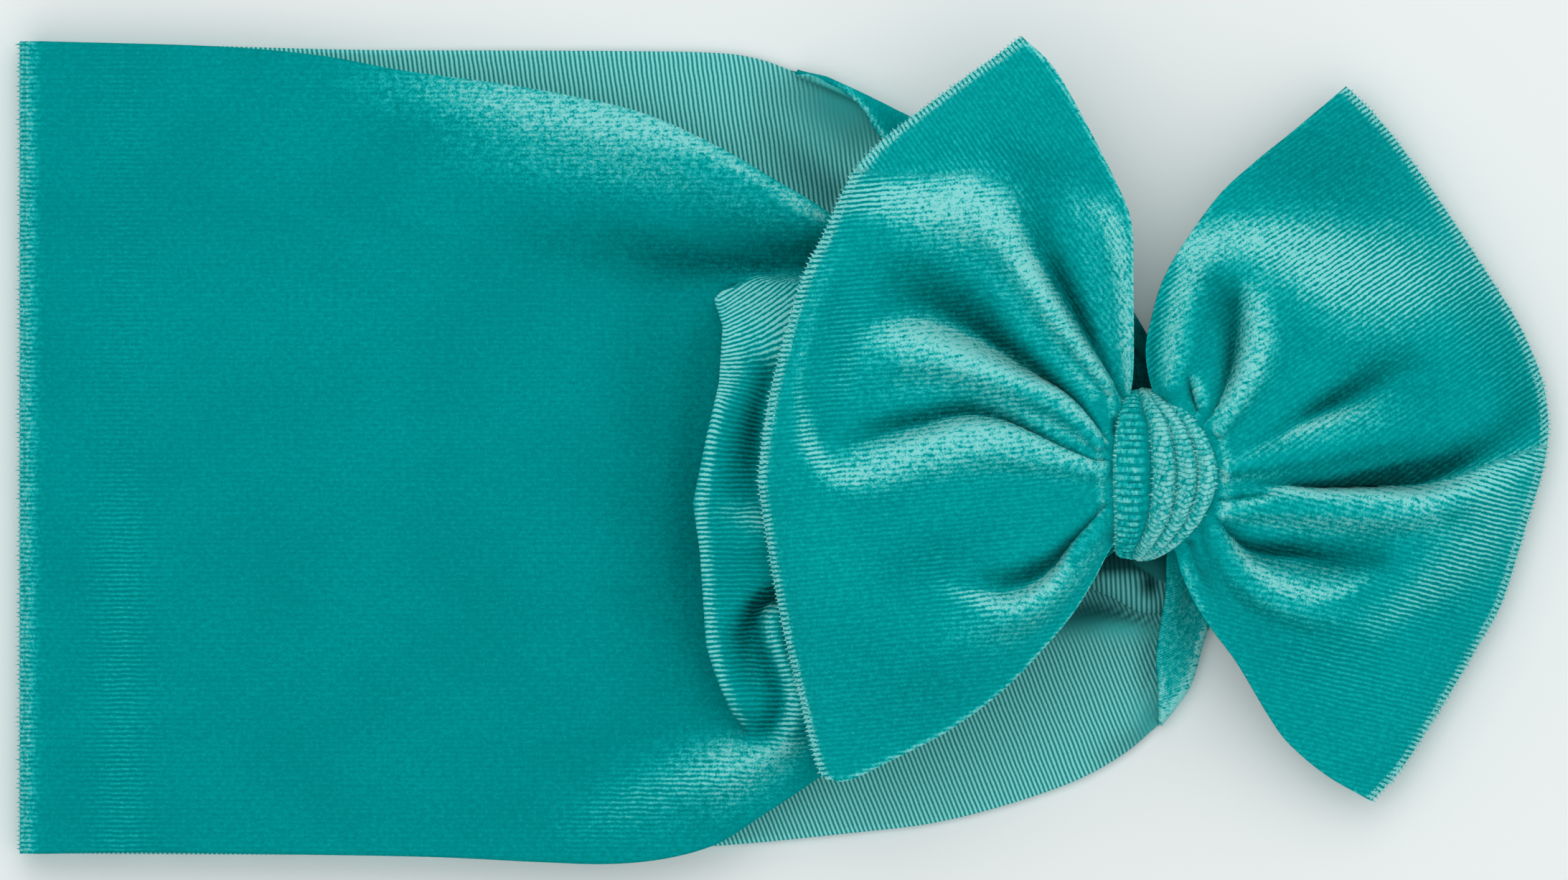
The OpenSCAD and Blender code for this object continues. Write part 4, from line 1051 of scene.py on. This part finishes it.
def bandFront():
    make = frontMake
    angles = np.radians(np.linspace(*make["rootAngles"], rootMake["columns"]))
    root = knotRoot(knotLeft, angles, rootMake["into"])
    start, end = make["tuck"]
    us = np.concatenate([np.linspace(0, start, make["rowsToTuck"], endpoint=False),
                         np.linspace(start, end, make["tuckRows"], endpoint=False),
                         np.linspace(end, 1, make["restRows"])])
    vs = np.linspace(0, 1, make["columns"])
    upperEdge = [list(root[0])] + band["frontTop"]
    lowerEdge = [list(root[-1])] + band["frontBottom"]
    plan = clothPatch(root, band["nape"], upperEdge, lowerEdge, us, vs)
    x = plan[..., 0]
    y = plan[..., 1]
    q = (x - band["tuckX"]) / band["tuckStep"]
    here = between(y, *make["tuckEnds"])
    pulled = between(y, *make["pullEnds"])
    pouf = np.array(band["poufEdge"])
    wavy = np.interp(-y, -pouf[:, 0], pouf[:, 1]) + make["poufMiddle"]
    shifted = x - band["tuckPull"] * pulled * q * np.exp(-q * q)
    shifted = shifted + wavy * pulled * bell(q, make["poufAt"], make["poufWide"])
    fromKnot = ease((-make["fromKnot"][0] - x) / make["fromKnot"][1])
    upper = band["tuckH"] * here / (1 + np.exp(-make["tuckSharp"] * q))
    shiftedPlan = np.stack([shifted, y], axis=-1)
    onUpper = mix(1 - here, 1, ease((q - make["creaseFrom"][0]) / make["creaseFrom"][1]))
    creases = foldsTogether(shiftedPlan, frontFolds) * np.where(here > make["stepLeast"], onUpper, 1.0)
    z = mix(band["rootZ"], band["frontZ"], fromKnot) + upper * fromKnot + creases
    z = np.maximum(z, make["leastZ"])
    grid = np.stack([shifted + knot["x"], y + knot["y"], z], axis=-1)
    whole = np.concatenate([grid, napeFold(grid[-1])])
    normals = upright(gridNormals(whole), *make["outPlace"])
    rel = whole - np.array([knot["x"], knot["y"], 0])
    lower = ease((make["lowerFrom"][0] - rel[..., 1]) / make["lowerFrom"][1])
    strip = bell(rel[..., 0], make["stripAt"], make["stripWide"]) * mix(make["stripUpper"], 1, lower)
    edgeShare = make["edgePale"] * ease((-rel[..., 0] - make["edgeFrom"][0]) / make["edgeFrom"][1])
    reliefTop = np.concatenate([shiftedPlan, (creases + make["stepHollow"] * upper)[..., None]], axis=-1)
    relief = np.concatenate([reliefTop, rel[len(us):] * np.array([1, 1, 0])])
    onPouf = np.zeros(lower.shape)
    onPouf[:len(us)] = ease((q - make["poufFrom"][0]) / make["poufFrom"][1]) * between(y, *make["poufEnds"])
    places = relief[..., :2]
    # Painted highlight and painted shade strokes, with their own on the pouf, and painted sheen at the
    # nape's edge; the deep mark also darkens the whole layer a little, more towards the bottom, and a faint
    # lighter strip runs near the nape
    pale = mix(foldsTogether(places, band["highlightStrokes"]), foldsTogether(places, band["poufHighlightStrokes"]), onPouf)
    pale = pale + edgeShare + make["stripPale"] * strip
    deep = mix(foldsTogether(places, band["shaded"]), foldsTogether(places, band["poufShaded"]), onPouf)
    deep = deep + make["allDeep"] + make["lowerDeep"] * lower
    rows = make["rows"] + make["stripRows"] * strip + edgeShare + make["poufRows"] * onPouf
    marks = pileMarks(whole, relief, combed=band["combed"], extraPale=pale, extraDeep=deep, rowsShown=rows)
    slope = np.interp(-rel[..., 1], *make["rowSlope"])
    marks["across"] = rel[..., 1] - slope * (rel[..., 0] + make["rowsMiddle"]) * onPouf
    flip = facesUp(whole, *make["facePlace"])
    piece = sheetFromGrid("bandFrontCloth", whole, marks, band["thick"], velvet, ribbed, flip)
    return piece, whole, normals, len(us)


frontPiece, frontGrid, frontNormals, frontRows = bandFront()
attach(frontPiece, "band")
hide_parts("band_front_layer", "band_nape_fold")
for k, (beyond, length) in enumerate(frontMake["tips"]):
    out = frontNormals[frontRows + beyond]
    line = frontGrid[frontRows + beyond] + out * frontMake["tipOut"]
    pileTips(f"napeTips{k}", line, out, length, frontMake["tipPitch"], "band", frontMake["tipSeed"] + k,
             frontMake["tipStout"])
print("band front made")


backMake = {
    "rows": 100, "columns": 131,
    "turnRadius": 0.75, "turnAngles": (-70, 90), "turnRows": 8, "taper": (0.06, 0.08),
    "leastTaper": 0.1, "turnedRows": 40, "rootAngles": (0, 150), "rootColumns": 16, "rootCorner": 0.6,
    "slopePower": 0.8, "wave": 0.8, "wavePower": 0.75, "waves": 3,
    "wingsAt": -2, "wingsWide": 7, "wingsEnds": ((6, 5), (27, 5)), "wingsDeep": 0.9,
    "lowerFrom": (10, 8), "lowerPale": 0.28, "rowsShown": 0.3, "ribTurnUpper": 0.14, "ribTurnLower": 0.40,
    "smoothUpper": ((62, 12), (48, 12)), "smoothLower": ((7, 6), (32, 7)), "smoothLowerShare": 0.8,
    "deepMost": 0.9, "facePlace": (40, 60),
}


# The turned end's own edge: a small half round from the layer below to the one above
def turnedEdge(vs):
    make = backMake
    edge = evenCurve(band["turnFold"], vs)
    tangent = np.gradient(edge, axis=0)
    outward = np.stack([-tangent[:, 1], tangent[:, 0]], axis=-1)
    outward = outward / np.linalg.norm(outward, axis=-1, keepdims=True)
    ends = ease(vs / make["taper"][0]) * ease((1 - vs) / make["taper"][1])
    reach = outward * make["turnRadius"] * mix(make["leastTaper"], 1, ends)[:, None]
    rows = []
    for t in np.radians(np.linspace(*make["turnAngles"], make["turnRows"])):
        z = np.full((len(vs), 1), band["backZ"] + make["turnRadius"] * (1 + math.sin(t)))
        rows.append(np.concatenate([edge + reach * math.cos(t), z], axis=-1))
    return np.array(rows)


# The end that goes back over the layer and up into the knot
def turnedEnd(vs):
    make = backMake
    angles = np.radians(np.linspace(*make["rootAngles"], make["rootColumns"]))
    root = knotRoot(knotRight, angles, -rootMake["into"])
    root[0] = [knotLeft(0.0), knot["h"] / 2 - make["rootCorner"]]
    us = np.linspace(0, 1, make["turnedRows"])[::-1]
    upperEdge = [list(root[0])] + band["turnTop"]
    lowerEdge = [list(root[-1])] + band["turnBottom"]
    plan = clothPatch(root, band["turnFold"], upperEdge, lowerEdge, us, vs)[1:]
    u = us[1:, None]
    wave = np.sin(math.pi * u ** make["wavePower"]) * np.cos(2 * make["waves"] * math.pi * vs[None, :])
    slope = mix(band["rootZ"], band["backZ"] + 2 * make["turnRadius"], u ** make["slopePower"])
    return np.concatenate([plan, (slope + make["wave"] * wave)[..., None]], axis=-1)


def bandBack():
    make = backMake
    us = np.linspace(0, 1, make["rows"])
    vs = np.linspace(0, 1, make["columns"])
    plan = clothPatch(band["nape"], band["turnFold"], band["backTop"], band["backBottom"], us, vs)
    back = np.concatenate([plan, np.full((len(us), len(vs), 1), band["backZ"])], axis=-1)
    whole = np.concatenate([back, turnedEdge(vs), turnedEnd(vs)]) + np.array([knot["x"], knot["y"], 0])
    whole[..., 2] = np.maximum(whole[..., 2], band["backZ"])
    rel = whole - np.array([knot["x"], knot["y"], 0])
    x = rel[..., 0]
    y = rel[..., 1]
    # Painted shade between the wings above the knot and painted light on the cloth below the knot;
    # backShaded adds strokes of painted shade
    betweenWings = bell(x, make["wingsAt"], make["wingsWide"]) * between(y, *make["wingsEnds"])
    betweenWings = make["wingsDeep"] * betweenWings
    lowerPale = make["lowerPale"] * ease((-y - make["lowerFrom"][0]) / make["lowerFrom"][1])
    marks = pileMarks(whole, rel * np.array([1, 1, 0]), band["turnHighlightStrokes"], band["turnShaded"],
                      extraPale=lowerPale, extraDeep=betweenWings, rowsShown=make["rowsShown"])
    marks["ribLine"] = x + y * np.where(y > 0, make["ribTurnUpper"], make["ribTurnLower"])
    (right, rightFade), (upper, upperFade) = make["smoothUpper"]
    smooth = ease((x + right) / rightFade) * ease((y - upper) / upperFade)
    (right, rightFade), (lower, lowerFade) = make["smoothLower"]
    smoothBelow = ease((x + right) / rightFade) * ease((-y - lower) / lowerFade)
    strokes = foldsTogether(rel[..., :2], band["backSmooth"])
    marks["smoothed"] = np.clip(smooth + make["smoothLowerShare"] * smoothBelow + strokes, 0, 1)
    firstTurned = len(us) + make["turnRows"]
    deep = foldsTogether(rel[..., :2], band["backShaded"]) + betweenWings
    marks["deep"][:firstTurned] = np.clip(deep, 0, make["deepMost"])[:firstTurned]
    flip = not facesUp(whole, *make["facePlace"])
    return sheetFromGrid("bandBackCloth", whole, marks, band["thick"], velvet, ribbed, flip)


backPiece = bandBack()
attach(backPiece, "band")
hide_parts("band_back_layer", "band_turned_end")
print("band back made")


def rayThrough(point):
    w = photo["width"]
    h = photo["height"]
    longSide = max(w, h)
    data = camera.data
    aim = Vector((point[0] - w / 2 + data.shift_x * longSide, h / 2 - point[1] + data.shift_y * longSide,
                  -longSide * data.lens / data.sensor_width))
    return camera.matrix_world.translation, (camera.matrix_world.to_3x3() @ aim).normalized()


# Where the ray through an image point meets the piece that carries something, or else the nearest place
def placeOn(carrier, point):
    mesh = carrier.data
    tree = BVHTree.FromPolygons([v.co[:] for v in mesh.vertices], [p.vertices[:] for p in mesh.polygons])
    start, aim = rayThrough(point)
    hit = tree.ray_cast(start, aim)[0]
    if hit is None:
        hit = min((v.co for v in mesh.vertices), key=lambda co: (co - start).cross(aim).length)
    return hit


# The little roll of the band's reverse that shows under the knot
tongue = {
    "top": [[-7.3, 6.7], [-0.3, 6.7], [6.1, 6.2]],
    "lower": [[-6.9, -0.1], [-3.9, -1.3], [-1.9, -2.2], [0.2, -3.4], [2.7, -4.4], [6.1, -4.4]],
    "left": [[-7.3, 6.7], [-7.7, 2.7], [-6.9, -0.1]], "right": [[6.1, 6.2], [6.9, 0.7], [6.1, -4.4]],
    "rows": 34, "rimRows": 12, "rimShare": 0.15, "columns": 61,
    "low": 1.6, "high": 5.2, "round": 5, "rootHigh": 0.62, "bulge": 0.75, "sideHigh": 0.72, "sideShare": 0.3,
    "hollow": [3.5, 0.1], "hollowWide": [1.6, 2.1], "hollowDeep": 2.0, "thick": 0.8, "ribTurn": 0.1,
    "behindTurn": 0.55, "behindFrom": (3.1, 0.5), "behindRight": (0.3, 0.5), "behindDeep": 0.75,
    "deep": 0.34, "deepMost": 0.93, "hollowDark": 0.7,
    "upperDark": 0.8, "upperFrom": (0.6, 2.6), "leftDark": 0.2, "leftFrom": (1.3, 6),
    "facePlace": (5, 20),
}


def tongueCloth():
    bpy.context.view_layer.update()
    spot = placeOn(backPiece, imagePoints["tongueMiddle"])
    us = sharesToRim(tongue["rows"], tongue["rimRows"], tongue["rimShare"])
    vs = np.linspace(0, 1, tongue["columns"])
    plan = clothPatch(tongue["top"], tongue["lower"], tongue["left"], tongue["right"], us, vs)
    x = plan[..., 0]
    y = plan[..., 1]
    u = us[:, None]
    bulge = mix(tongue["rootHigh"], 1, np.sin(math.pi * np.clip(u * tongue["bulge"], 0, 1)))
    z = tongue["low"] + tongue["high"] * rounded(u, tongue["round"]) * bulge
    z = z * mix(tongue["sideHigh"], 1, plateau(vs[None, :], tongue["sideShare"]))
    away = (plan - np.array(tongue["hollow"])) / np.array(tongue["hollowWide"])
    pit = np.exp(-(away ** 2).sum(axis=-1))
    z = z - tongue["hollowDeep"] * pit
    grid = np.stack([x + spot.x / mm, y + spot.y / mm, z], axis=-1)
    marks = pileMarks(grid, grid * np.array([1, 1, 0]))
    marks["ribLine"] = x + tongue["ribTurn"] * y
    # Painted shade: a little all over, more in the pit, under the knot, at the left end and behind
    behind = ease((y + tongue["behindTurn"] * x - tongue["behindFrom"][0]) / tongue["behindFrom"][1])
    behind = behind * ease((x - tongue["behindRight"][0]) / tongue["behindRight"][1])
    dark = tongue["deep"] + tongue["hollowDark"] * pit
    dark = dark + tongue["upperDark"] * ease((y - tongue["upperFrom"][0]) / tongue["upperFrom"][1])
    dark = dark + tongue["leftDark"] * ease((-x - tongue["leftFrom"][0]) / tongue["leftFrom"][1])
    marks["deep"] = np.clip(mix(dark, tongue["behindDeep"], behind), 0, tongue["deepMost"])
    marks["smoothed"] = behind
    flip = facesUp(grid, *tongue["facePlace"])
    return sheetFromGrid("bandTongueCloth", grid, marks, tongue["thick"], ribbed, velvet, flip)


tonguePiece = tongueCloth()
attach(tonguePiece, "band")
print("tongue made")


# Each list with four values has one for each turn of the wrap between two creases, from left to right
wrap = {
    "rows": 500, "columns": 97, "facePlace": (106, 20), "thick": 1.1, "skin": 0.3, "narrow": 0.955,
    "joinWithin": 0.00001,
    "creases": [0, 0.37, 0.62, 0.83, 1.0], "creaseWide": [0.02, 0.06, 0.05, 0.045, 0.02],
    "wander": 0.012, "wanders": 5, "depth": 1.1, "swell": [0.25, 0.8, 0.7, 0.6], "swellDeep": 0.55,
    "slant": [0.3, 1.5, 1.5, 1.4], "slantFrom": 0.55, "rowPitch": [1.22, 0.84, 0.84, 0.84], "rowTurn": 2.1,
    "rowWave": 0.9, "rowPower": 1.5, "rowRise": 0.2, "lowerLeft": 0.85, "lowerLeftFrom": (3, 0.2),
    "chain": [0.06, 0.26, 0.26, 0.26], "strength": [0.42, 0.66, 0.66, 0.66],
    "leftEdge": 0.5, "leftEdgeWide": 0.035, "leftEdgeAll": 0.4,
    "leftLit": ((0, 0.15), (0.85, 0.3)), "lit": ((0, 0.25), (1.02, 0.2)),
    "creasePale": 0.16, "creaseDeep": 0.04, "betweenRowsDeep": 0.12, "deepMost": 0.85, "deepLostOnRows": 0.7,
    "tips": ((2, -1.4), (38, -1.3), (57, 1.2), (63, -1.2), (77, 1.2), (83, -1.2), (94, 1.5)),
    "tipRows": (19, 236), "tipLift": 0.4, "tipLong": 0.95, "tipPitch": 0.84, "tipSeed": 51, "tipStout": 1.9,
}


# How deep a crease is at each place, and where a place lies between its two creases
def wrapCreases(w, ws):
    valley = np.zeros(w.shape)
    for edge, wide in zip(wrap["creases"], wrap["creaseWide"]):
        valley = np.maximum(valley, bell(w, edge, wide))
    edges = np.array(wrap["creases"])
    which = np.clip(np.searchsorted(edges, ws, side="right") - 1, 0, len(edges) - 2)
    return valley, which, (ws - edges[which]) / (edges[which + 1] - edges[which])


def knotCloth():
    ws = np.linspace(0, 1, wrap["columns"])
    a = np.radians(np.linspace(0, 360, wrap["rows"] + 1))[:, None]
    w = ws[None, :] + wrap["wander"] * np.sin(a * wrap["wanders"]) * np.sin(math.pi * ws)[None, :]
    valley, which, t = wrapCreases(w, ws)
    chosen = {key: np.array(wrap[key])[which] for key in ("swell", "slant", "rowPitch", "chain", "strength")}
    swell = np.sin(math.pi * np.clip(t, 0, 1)) * chosen["swell"]
    run = np.linspace(0, math.pi * (knot["h"] + knot["depth"]) / 2, wrap["rows"] + 1)[:, None]
    slant = chosen["slant"] * np.abs(t - wrap["slantFrom"])
    phase = 2 * math.pi * (run + slant) / chosen["rowPitch"] + which * wrap["rowTurn"]
    rows = np.clip(np.sin(phase + wrap["rowWave"] * np.sin(run * wrap["rowWave"] + which)), 0, 1)
    rowShare = rows ** wrap["rowPower"] * (1 - valley)
    inset = wrap["depth"] * valley + wrap["swellDeep"] * (1 - swell) - wrap["rowRise"] * rowShare
    atLowerLeft = ease(-np.cos(a)) * ease(np.sin(a) * wrap["lowerLeftFrom"][0] + wrap["lowerLeftFrom"][1])
    left = mix(knotLeft(a), -0.5 * knot["w"], wrap["lowerLeft"] * atLowerLeft)
    x = knot["x"] + mix(left, knotRight(a), ws[None, :]) * wrap["narrow"]
    y = knot["y"] + (knot["h"] / 2 - wrap["skin"] - inset) * np.cos(a)
    z = knot["z"] + (knot["depth"] / 2 - wrap["skin"] - inset) * np.sin(a)
    grid = np.stack([np.broadcast_to(x, inset.shape), y, z], axis=-1)
    # Painted highlight on the raised rows away from the creases and painted sheen along the left edge, a
    # little painted light in the creases, and painted shade in the creases and between the rows
    lit = np.where(which == 0, between(t, *wrap["leftLit"]), between(t, *wrap["lit"]))
    leftEdge = wrap["leftEdge"] * bell(ws, 0, wrap["leftEdgeWide"]) * mix(wrap["leftEdgeAll"], 1, rows)
    pale = (chosen["chain"] + chosen["strength"] * rowShare) * lit + leftEdge + wrap["creasePale"] * valley
    marks = pileMarks(grid, grid * np.array([1, 1, 0]), extraPale=pale, rowsShown=0.0)
    deep = wrap["creaseDeep"] * valley + wrap["betweenRowsDeep"] * (1 - rowShare)
    marks["deep"] = np.clip(deep, 0, wrap["deepMost"]) * (1 - wrap["deepLostOnRows"] * rowShare)
    flip = facesUp(grid, *wrap["facePlace"])
    piece = sheetFromGrid("knotCloth", grid, marks, wrap["thick"], velvet, shadedInnerPile, flip)
    editAll(piece, lambda: bpy.ops.mesh.remove_doubles(threshold=wrap["joinWithin"]))
    return piece, grid


knotPiece, knotGrid = knotCloth()
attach(knotPiece, "band")
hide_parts("knot_wrap")
for k, (column, lean) in enumerate(wrap["tips"]):
    line = knotGrid[slice(*wrap["tipRows"]), column]
    out = line - np.array([knot["x"], knot["y"], knot["z"]])
    out = out / np.linalg.norm(out, axis=-1, keepdims=True) + np.array([lean, 0, 0])
    line = line + np.array([0, 0, wrap["tipLift"]])
    pileTips(f"knotTips{k}", line, out, wrap["tipLong"], wrap["tipPitch"], "band", wrap["tipSeed"] + k,
             wrap["tipStout"], paleTips)
print("knot made")


# These nodes keep their CAD shape and get a finish; the two waists get the darker gathered pile, which is
# painted shade
for node, finish in (
        ("band_waist", shadedInnerPile), ("bow_waist", shadedInnerPile), ("band_gather_thread", threadFinish),
        ("band_seam_stitches", threadFinish), ("bow_gather_thread", threadFinish),
        ("knot_closing_stitches", threadFinish)):
    for item in bpy.data.objects:
        if item.name == node or item.name.startswith(node + "."):
            item.data.materials.clear()
            item.data.materials.append(finish)


studio = {
    "floor": (0.895, 0.915, 0.905), "floorSize": 4, "floorZ": -0.0001, "floorRoughness": 0.9,
    "backdrop": (0.83, 0.88, 0.88), "sky": 0.865, "skyColour": (0.95, 0.985, 1.0),
    "keyPower": 3.4, "keySize": 1.2, "keyAt": (-0.1, 0.85, 1.1),
}


def setFloor():
    bpy.ops.object.select_all(action="DESELECT")
    bpy.ops.mesh.primitive_plane_add(size=studio["floorSize"], location=(0, 0, studio["floorZ"]))
    floor = bpy.context.active_object
    floor.name = "floor"
    material, shader = newMaterial("paleFloor")[::2]
    shader.inputs["Base Color"].default_value = (*studio["floor"], 1)
    shader.inputs["Roughness"].default_value = studio["floorRoughness"]
    shader.inputs["Specular IOR Level"].default_value = 0.0
    floor.data.materials.append(material)


def setSky():
    world = bpy.data.worlds.new("studioSky")
    bpy.context.scene.world = world
    world.use_nodes = True
    tree = world.node_tree
    path = tree.nodes.new("ShaderNodeLightPath")
    seen = calc(tree, "MAXIMUM", path.outputs["Is Camera Ray"], path.outputs["Is Glossy Ray"])
    seen = calc(tree, "MAXIMUM", seen, path.outputs["Is Transmission Ray"])
    sky = tree.nodes["Background"]
    sky.inputs["Color"].default_value = (*studio["skyColour"], 1)
    sky.inputs["Strength"].default_value = studio["sky"]
    shown = tree.nodes.new("ShaderNodeBackground")
    shown.inputs["Color"].default_value = (*studio["backdrop"], 1)
    joined = tree.nodes.new("ShaderNodeMixShader")
    tree.links.new(seen, joined.inputs[0])
    tree.links.new(sky.outputs[0], joined.inputs[1])
    tree.links.new(shown.outputs[0], joined.inputs[2])
    tree.links.new(joined.outputs[0], tree.nodes["World Output"].inputs["Surface"])


def setKeyLight():
    lamp = bpy.data.lights.new("keyLight", "AREA")
    lamp.energy = studio["keyPower"]
    lamp.size = studio["keySize"]
    key = bpy.data.objects.new("keyLight", lamp)
    key.location = studio["keyAt"]
    key.rotation_euler = (-key.location).to_track_quat("-Z", "Y").to_euler()
    bpy.context.scene.collection.objects.link(key)


setFloor()
setSky()
setKeyLight()
bpy.context.scene.view_settings.view_transform = "Standard"
print("studio set")


# For measuring how far each thing shows from its image point
search = {"near": 34, "tried": 4000, "hidden": 0.0006, "foldRows": (30, 140), "foldColumns": (50, 125)}

# Each point's piece, the direction in which it lies furthest, and whether only places near it count
pointPieces = {
    "bandLeft": ("bandFrontCloth", (-1, 0), False), "bandTopLeft": ("bandFrontCloth", (-1, -1), True),
    "bandBottomLeft": ("bandFrontCloth", (-1, 1), True), "bandBottom": ("bandFrontCloth", (0, 1), False),
    "leftTip": ("bowLeftCloth", (0, -1), False), "leftLowerCorner": ("bowLeftCloth", (-0.3, 1), False),
    "leftWidest": ("bowLeftCloth", (-1, 0), False), "rightUpperTip": ("bowRightCloth", (0, -1), False),
    "rightLowerTip": ("bowRightCloth", (0, 1), False), "rightWidest": ("bowRightCloth", (1, 0), False),
    "flapTip": ("bandBackCloth", (1, 1), True),
}


def onPhoto(co):
    local = camera.matrix_world.inverted() @ co
    longSide = max(photo["width"], photo["height"])
    data = camera.data
    scale = longSide * data.lens / data.sensor_width / -local.z
    return (photo["width"] / 2 - data.shift_x * longSide + local.x * scale,
            photo["height"] / 2 + data.shift_y * longSide - local.y * scale)


def shows(co, depsgraph):
    start = camera.matrix_world.translation
    toward = co - start
    hit, place = bpy.context.scene.ray_cast(depsgraph, start, toward.normalized())[:2]
    return not hit or (place - start).length > toward.length - search["hidden"]


# The shown vertex that lies furthest along a direction of the picture, out of those near a point if given
def furthest(pieceName, lean, near=None):
    depsgraph = bpy.context.evaluated_depsgraph_get()
    spots = []
    for vertex in bpy.data.objects[pieceName].data.vertices:
        x, y = onPhoto(vertex.co)
        if near is None or math.hypot(x - near[0], y - near[1]) < search["near"]:
            spots.append((x * lean[0] + y * lean[1], x, y, vertex.co))
    spots.sort(key=lambda spot: -spot[0])
    for spot in spots[:search["tried"]]:
        if shows(spot[3], depsgraph):
            return spot[1], spot[2]
    return spots[0][1:3]


def measurePoints():
    off = {}
    for name, (piece, lean, close) in pointPieces.items():
        point = imagePoints[name]
        x, y = furthest(piece, lean, point if close else None)
        off[name] = [round(x - point[0], 1), round(y - point[1], 1)]
        # a point on a straight edge only has a place across that edge
        if name in ("bandLeft", "leftWidest", "rightWidest"):
            off[name][1] = 0.0
        if name == "bandBottom":
            off[name][0] = 0.0
    depsgraph = bpy.context.evaluated_depsgraph_get()
    for name, piece in (("knotMiddle", "knotCloth"), ("tongueMiddle", "bandTongueCloth")):
        seen = [onPhoto(v.co) for v in bpy.data.objects[piece].data.vertices if shows(v.co, depsgraph)]
        middle = [(min(p[k] for p in seen) + max(p[k] for p in seen)) / 2 for k in (0, 1)]
        off[name] = [round(middle[k] - imagePoints[name][k], 1) for k in (0, 1)]
    edge = min(foldLine(), key=lambda p: p[0])
    off["poufLeft"] = [round(edge[k] - imagePoints["poufLeft"][k], 1) for k in (0, 1)]


# The pouf's fold: in each column of the cloth, the place where it turns back toward the knot
def foldLine():
    line = []
    firstRow, lastRow = search["foldRows"]
    for c in range(*search["foldColumns"]):
        column = frontGrid[firstRow:lastRow, c, 0]
        for r in range(1, len(column) - 1):
            if column[r] < column[r - 1] and column[r] <= column[r + 1]:
                line.append(onPhoto(Vector(frontGrid[firstRow + r, c] * mm)))
                break
    return line or [(0.0, 0.0)]


measurePoints()
print("points measured")
